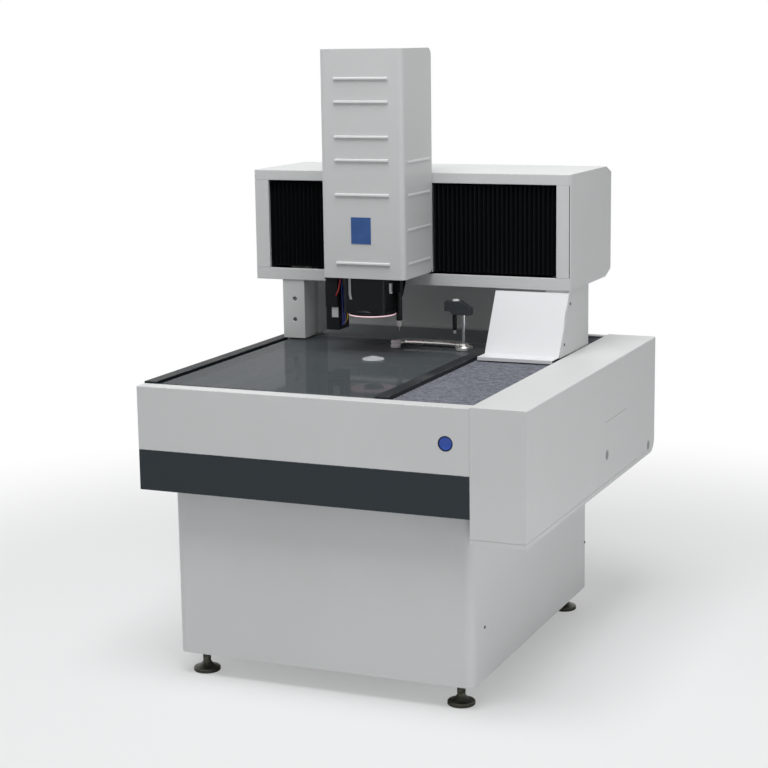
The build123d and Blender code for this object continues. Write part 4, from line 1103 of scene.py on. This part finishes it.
@dataclass
class Bridge(Assembly):
    """Moving bridge: feet, legs, beam, covers and the document holder."""
    body: str = "bridge"
    edge: float = 0.0016
    seam: Spot = (0.3990, 0.4012)
    seam_depth: float = 0.0022
    shelf_move: Point = (0, -0.036, -0.0042)
    bend_move: Point = (0, -0.004, -0.005)
    top_move: Point = (0.002, 0.003, -0.003)

    def build(self) -> None:
        """Make the bridge."""
        self.soft("body_paint", "bridge_top_cover", "bridge_bottom_cover",
                  "bridge_end_cover_left", "right_leg_cover")
        self.end_cover()
        self.soft("body_paint", "left_leg", "right_leg", edge=0.001)
        self.holder()
        self.soft("chrome", "holder_screws", finish=FINISH.foot_steel, edge=0.0003)
        self.soft("black_anodised", "bridge_beam")
        self.soft("aluminium", "lower_beam", "y_carriage_left", "y_carriage_right")
        self.coat("guide_steel", "y_bearing_blocks", "x_guide_rails")

    def end_cover(self) -> None:
        """Right end cover, with a seam beside its stile and a dark strip in the seam that paints
        its shadow.
        """
        left, right = self.seam
        cover = Shape.of_node("bridge_end_cover_right_seamed", "bridge_end_cover_right")
        cover.soften(self.edge)
        for x in self.seam:
            cover.cut((x, 0, 0), (1, 0, 0))
        front = min(point.co.y for point in cover.obj.data.vertices)
        cover.pick(lambda p, n: n.y < -0.95 and left < p.x < right and p.y < front + 0.001)
        cover.extrude((0, self.seam_depth, 0))
        cover.dress(FINISH.body_paint, "body_paint", self.body, "bridge_end_cover_right")
        low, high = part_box("bridge_end_cover_right")
        # painted shadow: a black strip set in the seam to darken it
        seam_shadow = Shape.block("end_cover_seal", (left + 0.0001, low.y + 0.0008, low.z + 0.002),
                           (right - 0.0001, low.y + 0.0021, high.z - 0.002))
        seam_shadow.soften(0.0002, 1).dress(FINISH.black_plastic, "body_paint", self.body)

    def holder(self) -> None:
        """Document holder, its shelf reaching forward over the cloth."""
        sheet = Shape.of_node("document_holder_folded", "document_holder")
        sheet.pull((lambda p, n: p.y < 0.097 and p.z < 0.790, self.shelf_move),
                   (lambda p, n: 0.117 < p.y < 0.1215 and p.z < 0.7855, self.bend_move),
                   (lambda p, n: p.z > 0.9420, self.top_move))
        sheet.soften(0.0008)
        sheet.dress(FINISH.white_paint, "white_paint", self.body, "document_holder")


@dataclass
class FoldedSheet:
    """Cloth that lies in pleats.

    Args:
        name: name of its CAD node.
        start: end that is fixed.
        end: end that moves.
        folds: number of folds.
        depth: depth of a fold.
        thickness: thickness of the cloth.
        gap: clearance at each end.
    """
    name: str
    start: float
    end: float
    folds: int
    depth: float
    thickness: float = 0.0006
    gap: float = 0.0004

    @property
    def column(self) -> float:
        """Width of one face, folded as it is."""
        return abs(self.end - self.start) / (2 * self.folds)

    @property
    def flat(self) -> float:
        """Length of the sheet when it lies flat."""
        return self.folds * 2 * math.hypot(self.column, self.depth)

    def fold(self, across: Spot, rows: int, lie: Matrix, bend: float, steps: int) -> Shape:
        """Fold the sheet, lay it in place, round its folds and thicken it.

        Args:
            across: its two edges, across the folds.
            rows: number of faces across.
            lie: matrix that lays it in place.
            bend: width of a rounded fold.
            steps: faces across a rounded fold.

        Returns:
            The sheet.
        """
        a, b = sorted((self.start, self.end))
        rest()
        bpy.ops.mesh.primitive_grid_add(x_subdivisions=2 * self.folds, y_subdivisions=rows, size=1)
        sheet = Shape(bpy.context.object, f"{self.name}_folded")
        sheet.lay(between((a + self.gap, across[0], -0.5), (b - self.gap, across[1], 0.5)))
        sheet.pick(lambda p, n: round((p.x - a) / self.column) % 2 == 1, "VERT")
        sheet.shift((0, 0, -self.depth)).lay(lie)
        sheet.modify("BEVEL", width=bend, segments=steps, limit_method="ANGLE", angle_limit=0.1)
        return sheet.modify("SOLIDIFY", thickness=self.thickness, offset=0.0)


@dataclass
class Bellows(FoldedSheet):
    """One of the two folded covers of the cross rails, between bridge and column."""
    depth: float = 0.015
    thickness: float = 0.0007
    low: float = 0.9865
    high: float = 1.2275
    front: float = 0.2055

    @classmethod
    def on(cls, side: Side, start: float, end: float, folds: int) -> "Bellows":
        """Bellows of one side."""
        return cls(f"bellows_{side.name.lower()}", start, end, folds)

    def build(self) -> None:
        """Fold the sheet, give it its finish and leave it on no body."""
        stand = Matrix.Translation((0, self.front, 0)) @ Matrix.Rotation(math.pi / 2, 4, "X")
        sheet = self.fold((self.low, self.high), 6, stand, 0.0012, 2)
        obj = sheet.dress(FINISH.bellows_cloth, "bellows_cloth", None, self.name, smooth=60)
        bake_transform(obj)


@dataclass
class WayCover(FoldedSheet):
    """Folded cloth cover of the right guide rail, in front of or behind the bridge."""
    left: float = 0.1775
    right: float = 0.3995
    top: float = 0.7685

    def build(self) -> None:
        """Fold the sheet; the front cover rides on the base, the rear one on no body."""
        lie = Matrix.Translation((0, 0, self.top)) @ Matrix.Rotation(math.pi / 2, 4, "Z")
        sheet = self.fold((-self.right, -self.left), 4, lie, min(0.004, self.column * 0.35), 3)
        in_front = self.end > self.start
        obj = sheet.dress(FINISH.cover_cloth, "cover_cloth", "base" if in_front else None,
                          self.name, smooth=60)
        if in_front:
            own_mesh(obj)
        else:
            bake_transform(obj)


@dataclass
class Column(Assembly):
    """Louvred column cover, its badge, the slide plate behind and the cross carriage."""
    body: str = "column"
    edge: float = 0.0014
    badge_low: Point = (-0.148, -0.0122, 1.082)
    badge_high: Point = (-0.090, -0.011, 1.154)
    badge_rim: float = 0.0022
    front_out: float = 0.006
    side_out: float = 0.004
    hood: float = 0.0095
    front_press: Spot = (0.75, 0.46)
    side_press: Spot = (0.55, 0.42)
    front_rows: tuple[float, ...] = (1.521, 1.4595, 1.367, 1.305, 1.2125, 1.028)
    side_rows: tuple[float, ...] = (1.301, 1.212, 1.119, 1.028)

    def build(self) -> None:
        """Make the column."""
        self.cover()
        self.coat("aluminium", "z_base_plate")
        self.soft("aluminium", "x_carriage")
        self.coat("guide_steel", "x_bearing_blocks")
        self.badge()

    def cover(self) -> None:
        """Column cover, its louvres pressed to less depth and height, like the real ones."""
        (x0, y0, _), (x1, y1, _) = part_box("column_cover")
        x0, x1, y0 = x0 + self.side_out, x1 - self.side_out, y0 + self.front_out
        cover = Shape.of_node("column_cover_pressed", "column_cover")
        for z in self.front_rows:
            cover.pick(lambda p, n: abs(p.z - z) < self.hood and p.y < y0 + 0.0045
                       and x0 + 0.016 < p.x < x1 - 0.016, "VERT")
            cover.shrink((1, 1, self.front_press[1]), (0, 0, z + 0.004))
            cover.pick(lambda p, n: abs(p.z - z) < self.hood and p.y < y0 - 0.0003, "VERT")
            cover.shrink((1, self.front_press[0], 1), (0, y0, z))
        for z, (x, out) in [(z, face) for z in self.side_rows for face in ((x0, -1), (x1, 1))]:
            cover.pick(lambda p, n: abs(p.z - z) < self.hood and (p.x - x) * out > -0.0045
                       and y0 + 0.028 < p.y < y1 - 0.014, "VERT")
            cover.shrink((1, 1, self.side_press[1]), (0, 0, z + 0.002))
            cover.pick(lambda p, n: abs(p.z - z) < self.hood and (p.x - x) * out > 0.0003, "VERT")
            cover.shrink((self.side_press[0], 1, 1), (x, 0, z))
        cover.soften(0.0009)
        cover.dress(FINISH.body_paint, "body_paint", self.body, "column_cover")

    def badge(self) -> None:
        """Plain blue plate with a raised rim."""
        plate = Shape.block("badge_plate_rimmed", self.badge_low, self.badge_high)
        plate.pick(lambda p, n: n.y < -0.9).inset(self.badge_rim)
        x, _, z = between(self.badge_low, self.badge_high).translation
        plate.pick(lambda p, n: n.y < -0.9 and abs(p.x - x) < 0.01 and abs(p.z - z) < 0.01)
        plate.shift((0, 0.0005, 0)).soften(0.0003)
        plate.dress(FINISH.blue_enamel, "blue_enamel", self.body, "badge_plate")


@dataclass
class SideModule(Assembly):
    """Black module beside the optics, its blank label and its wires."""
    body: str = "column"
    narrowed: float = 0.006
    lowered: float = 0.008
    label_low: Point = (-0.2325, 0.0383, 0.8715)
    label_high: Point = (-0.2132, 0.0388, 0.9000)
    plug: Spot = (-0.208, 0.850)
    plate: Spot = (-0.2072, 0.985)
    wire_radius: float = 0.0013
    red_radius: float = 0.0022

    def build(self) -> None:
        """Make the module and the wires."""
        module = Shape.of_node("side_module_cased", "side_module")
        module.pull((lambda p, n: p.x < -0.250, (self.narrowed, 0, 0)),
                    (lambda p, n: p.z > 0.980 and p.y < 0.060, (0, 0, -self.lowered)))
        module.soften(0.0008).dress(FINISH.black_plastic, "black_plastic", self.body, "side_module")
        label = Shape.block("module_label", self.label_low, self.label_high)
        label.pick(lambda p, n: n.y < -0.9).inset(0.001)
        label.soften(0.0001, 1).dress(FINISH.label_film, "black_plastic", self.body)
        (x0, z0), (x1, z1) = self.plug, self.plate
        for number, (colour, bend, y, rise) in enumerate((
                (WireColour.BLUE, -0.2040, 0.050, 0.905), (WireColour.SKY, -0.2015, 0.059, 0.890),
                (WireColour.NAVY, -0.1990, 0.070, 0.925),
                (WireColour.YELLOW, -0.1966, 0.064, 0.884))):
            self.wire(colour, [(x0, y, z0), (bend, y, z0 + 0.004 * number),
                               (bend, y - 0.003, rise), (x1, y - 0.004, z1)], self.wire_radius)
        self.wire(WireColour.RED, [(-0.2185, 0.0390, 0.9310), (-0.2170, 0.0345, 0.9350),
                                   (-0.2080, 0.0345, 0.9480), (x1, 0.0440, z1)], self.red_radius)

    def wire(self, colour: WireColour, route: Sequence[Point], radius: float) -> None:
        """One wire, smooth through the points of its route.

        Args:
            colour: colour of its sheath.
            route: points of its control polygon.
            radius: half its thickness.
        """
        name = colour.name.lower()
        sheath = Moulding(f"wire_sheath_{name}", tone(*colour.value), 0.38)
        nodes = ["sensor_wires"] if colour is WireColour.BLUE else []
        wire = Shape.tube(f"sensor_wire_{name}", route, radius)
        wire.dress(sheath, "wire_sheath", self.body, *nodes)


@dataclass
class OpticsHead(Assembly):
    """Lens housing, ring light and touch probe on the vertical slide; profiles in millimetres."""
    body: str = "optics"
    edge: float = 0.0009
    ring_place: Point = (-0.131, 0.085, 0.8775)
    ring_radius: float = 66
    probe: Point = (-0.059, 0.105, 0.861)
    probe_left: float = 0.004
    clamp_narrowed: float = 0.005
    corner: Spot = (0.990, 0.994)
    corner_cut: float = 0.0325
    stylus_profile: tuple[Spot, ...] = (
        (0, 0), (5.5, 0), (5.5, -3), (6, -3.1), (6.4, -3.5), (6.4, -15), (5.6, -16.8),
        (2.2, -17.6), (1, -18.6), (0.8, -24.6), (1.4, -25.2), (1.8, -26.2), (1.4, -27.4),
        (0.7, -27.9), (0, -28))
    lens_profile: tuple[Spot, ...] = ((0, 6.2), (8, 6.5), (15, 7.4), (20.5, 9.2), (20.5, 9.8),
                                      (0, 9.8))

    def build(self) -> None:
        """Make the optics."""
        self.soft("black_anodised", "lens_housing", "zoom_camera")
        self.ring()
        self.clip()
        self.touch_probe()
        self.slide()

    def touch_probe(self) -> None:
        """Probe with a narrowed clamp, and its stylus module of collar, stem and ball, painted
        white for their highlights.
        """
        probe = Shape.of_node("touch_probe_clamped", "touch_probe")
        probe.pull((lambda p, n: p.z > 0.936 and p.x > -0.0445, (-self.clamp_narrowed, 0, 0)),
                   (lambda p, n: True, (-self.probe_left, 0, 0)))
        probe.soften(0.0005)
        probe.dress(FINISH.black_anodised, "black_anodised", self.body, "touch_probe")
        tip = Shape.lathe("probe_stylus_turned", self.stylus_profile, self.probe, 32)
        # painted highlight: the steel stylus gets a white finish for its bright collar
        tip.dress(FINISH.tip_ceramic, "polished_steel", "stylus", "probe_stylus", smooth=35)

    def slide(self) -> None:
        """Slide plate, blackened, its lower right corner cut away beside the probe."""
        plate = Shape.of_node("z_slide_cut", "z_slide")
        low, high = self.corner
        plate.cut((0, 0, low), UP).cut((0, 0, high), UP)
        middle = (low + high) / 2
        plate.pull((lambda p, n: p.z < middle and p.x > -0.030, (-self.corner_cut, 0, 0)))
        plate.soften(self.edge)
        plate.dress(FINISH.black_anodised, "aluminium", self.body, "z_slide")

    def ring(self) -> None:
        """Ring light: turned body over a pale diffuser whose rim glows, and the lens inside."""
        r = self.ring_radius
        body = Shape.lathe("ring_light_turned", [
            (31.5, 3.5), (r - 1.2, 3.5), (r - 0.4, 4.2), (r, 5), (r, 8.5), (r - 1, 9.5),
            (r - 1, 11), (r, 12), (r, 13.5), (r - 6, 22), (31.5, 22), (30.5, 21), (30.5, 4.5),
            (31.5, 3.5)], self.ring_place, 72)
        body.dress(FINISH.black_anodised, "black_anodised", self.body, "ring_light", smooth=30)
        glow = Shape.lathe("ring_diffuser_turned", [
            (34, 0.4), (40, 0), (r - 4, 0), (r - 1.5, 0.8), (r - 0.8, 1.8), (r - 1, 3.4),
            (32.5, 3.4), (32.5, 1.2), (34, 0.4)], self.ring_place, 72)
        glow.dress(FINISH.diffuser, "diffuser", self.body, "ring_diffuser", smooth=40)
        lens = Shape.lathe("front_lens", self.lens_profile, self.ring_place)
        lens.dress(FINISH.lens_glass, "black_anodised", self.body, smooth=40)

    def clip(self) -> None:
        """Spring clip and flat ribbon on the sides of the housing."""
        for name, low, high, tail, finish, slot in (
                ("housing_clip", (-0.0595, 0.036, 0.950), (-0.0535, 0.046, 0.972),
                 (0.0015, 0, -0.006), FINISH.chrome, "chrome"),
                ("housing_ribbon", (-0.1725, 0.0195, 0.940), (-0.1660, 0.0218, 0.990),
                 (0.0030, 0, -0.014), FINISH.label_film, "white_paint")):
            strip = Shape.block(name, low, high)
            strip.pick(lambda p, n: n.z < -0.9).extrude(tail)
            strip.soften(0.0006).dress(finish, slot, self.body)


@dataclass
class BackLight(Assembly):
    """Lamp under the glass, with its condenser lens on a black seat; profiles in millimetres."""
    body: str = "backlight"
    lens_place: Point = (-0.131, 0.085, 0.742)
    seat_profile: tuple[Spot, ...] = ((0, 0), (22, 0), (24, 2), (24, 8.8), (0, 8.8))
    lens_profile: tuple[Spot, ...] = (
        (0, 9), (29, 9), (30, 9.8), (30, 11.4), (29, 12.2), (18, 13.2), (16.2, 14.6),
        (10.5, 17.2), (4.5, 18.2), (0, 18.4))

    def build(self) -> None:
        """Make the lamp."""
        self.soft("aluminium", "backlight_carriage")
        seat = Shape.lathe("condenser_seat", self.seat_profile, self.lens_place, 40)
        seat.dress(FINISH.black_plastic, "aluminium", self.body, smooth=35)
        lens = Shape.lathe("condenser_lens_turned", self.lens_profile, self.lens_place, 56)
        lens.dress(FINISH.condenser_glass, "condenser_glass", self.body, "condenser_lens",
                   smooth=35)


@dataclass(frozen=True)
class Softbox:
    """Square area lamp.

    Args:
        name: name of the lamp.
        place: where it hangs.
        target: point that it faces.
        size: side of the square.
        watts: power.
    """
    name: str
    place: Point
    target: Point
    size: float
    watts: float

    def hang(self) -> None:
        """Make the lamp and turn it to its target."""
        data = bpy.data.lights.new(self.name, "AREA")
        data.shape, data.size, data.energy = "SQUARE", self.size, self.watts
        lamp = bpy.data.objects.new(self.name, data)
        bpy.context.scene.collection.objects.link(lamp)
        lamp.location = self.place
        aim = Vector(self.target) - Vector(self.place)
        lamp.rotation_euler = aim.to_track_quat("-Z", "Y").to_euler()


@dataclass
class Studio:
    """Camera, lamps, pale floor and white surroundings.

    Args:
        lens: focal length, in millimetres.
        place: place of the camera.
        azimuth: angle of the camera round to the right, in degrees.
        drop: angle that it looks down.
        roll: angle that it leans.
        ambient: strength of the light from all round.
        near: distance where the floor begins to fade to white.
        far: distance where it is white.
        floor_radius: radius of the floor.
        floor_tone: colour of the floor.
        floor_glow: share of white in the floor near the machine.
        lamps: the lamps.
    """
    lens: float = 86.749
    place: Point = (1.8930, -4.5529, 1.6254)
    azimuth: float = 23.246
    drop: float = 10.572
    roll: float = -0.803
    ambient: float = 0.30
    near: float = 1.3
    far: float = 2.8
    floor_radius: float = 40
    floor_tone: Colour = tone(232, 233, 234)
    floor_glow: float = 0.35
    lamps: tuple[Softbox, ...] = (
        Softbox("top_softbox", (0.3, -1.6, 6.0), (0.1, 0, 0.8), 3.4, 244),
        Softbox("front_softbox", (-0.6, -4.8, 0.9), (0, 0, 0.7), 2.0, 2),
        Softbox("right_softbox", (2.7, -0.9, 0.4), (0.45, 0, 0.6), 1.2, 10),
        Softbox("left_softbox", (-4.4, 0.6, 1.7), (0, 0, 0.8), 2.0, 16),
        Softbox("rear_softbox", (0.4, 4.8, 2.6), (0, 0, 0.8), 2.2, 8))

    def build(self) -> None:
        """Set up the studio."""
        self.camera()
        self.floor()
        self.world()
        for lamp in self.lamps:
            lamp.hang()
        bpy.context.scene.view_settings.view_transform = "Standard"

    def camera(self) -> None:
        """Camera at the photograph's angle."""
        data = bpy.data.cameras.new("camera")
        data.lens, data.sensor_width, data.clip_end = self.lens, 36.0, 100.0
        camera = bpy.data.objects.new("camera", data)
        bpy.context.scene.collection.objects.link(camera)
        a, e, r = (math.radians(v) for v in (self.azimuth, self.drop, self.roll))
        ahead = Vector((-math.sin(a) * math.cos(e), math.cos(a) * math.cos(e), -math.sin(e)))
        right = Vector((math.cos(a), math.sin(a), 0))
        up = right.cross(ahead)
        across = right * math.cos(r) + up * math.sin(r)
        above = up * math.cos(r) - right * math.sin(r)
        turn = Matrix((across, above, -ahead)).transposed().to_4x4()
        camera.matrix_world = Matrix.Translation(self.place) @ turn
        bpy.context.scene.camera = camera

    def floor(self) -> None:
        """Pale floor that fades to white away from the machine."""
        rest()
        bpy.ops.mesh.primitive_circle_add(vertices=96, radius=self.floor_radius, fill_type="NGON")
        obj = bpy.context.object
        obj.name = "studio_floor"
        g = Graph("studio_floor")
        x, y, _ = g.axes()
        away = ((x * x + y * y) ** 0.5).fade(self.near, self.far)
        pale = g.add("ShaderNodeBsdfDiffuse", None, {"Color": self.floor_tone})
        white = g.add("ShaderNodeEmission", None, {"Color": WHITE, "Strength": 1.0})
        seen = g.add("ShaderNodeLightPath", out="Is Camera Ray")
        share = seen * (away * (1 - self.floor_glow) + self.floor_glow)
        g.join(g.add("ShaderNodeMixShader", None, {0: share, 1: pale, 2: white}), g.surface)
        g.tree.nodes.remove(g.shader)
        obj.data.materials.append(g.owner)

    def world(self) -> None:
        """Even light, seen as white by the camera, by gloss and through glass."""
        g = Graph("studio_world", world=True)
        bpy.context.scene.world = g.finish(Color=WHITE, Strength=self.ambient)
        path = g.add("ShaderNodeLightPath").socket.node
        camera, gloss, glass = (Signal(g, path.outputs[ray]) for ray in (
            "Is Camera Ray", "Is Glossy Ray", "Is Transmission Ray"))
        seen = camera.highest(gloss).highest(glass)
        plain = Signal(g, g.shader.outputs[0])
        white = g.add("ShaderNodeBackground", None, {"Color": WHITE, "Strength": 1.0})
        g.join(g.add("ShaderNodeMixShader", None, {0: seen, 1: plain, 2: white}), g.surface)


def main() -> None:
    """Build the studio and every sub-assembly."""
    logging.basicConfig(level=logging.INFO, format="%(message)s")
    parts = [
        Studio(), Cabinet(), Table(), Stage(), PushButton(), Fixture(), Bridge(),
        Bellows.on(Side.LEFT, -0.498, -0.2353, 20), Bellows.on(Side.RIGHT, 0.362, 0.0063, 27),
        WayCover("way_cover_front", -0.539, 0.2007, 37, 0.0035),
        WayCover("way_cover_rear", 0.539, 0.3763, 32, 0.0088),
        Column(), SideModule(), OpticsHead(), BackLight(),
    ]
    for part in parts:
        before = set(bpy.data.objects)
        part.build()
        made = sorted(o.name for o in set(bpy.data.objects) - before)
        log.info("%s: %s", type(part).__name__, ", ".join(made))


if __name__ == "__main__":
    main()
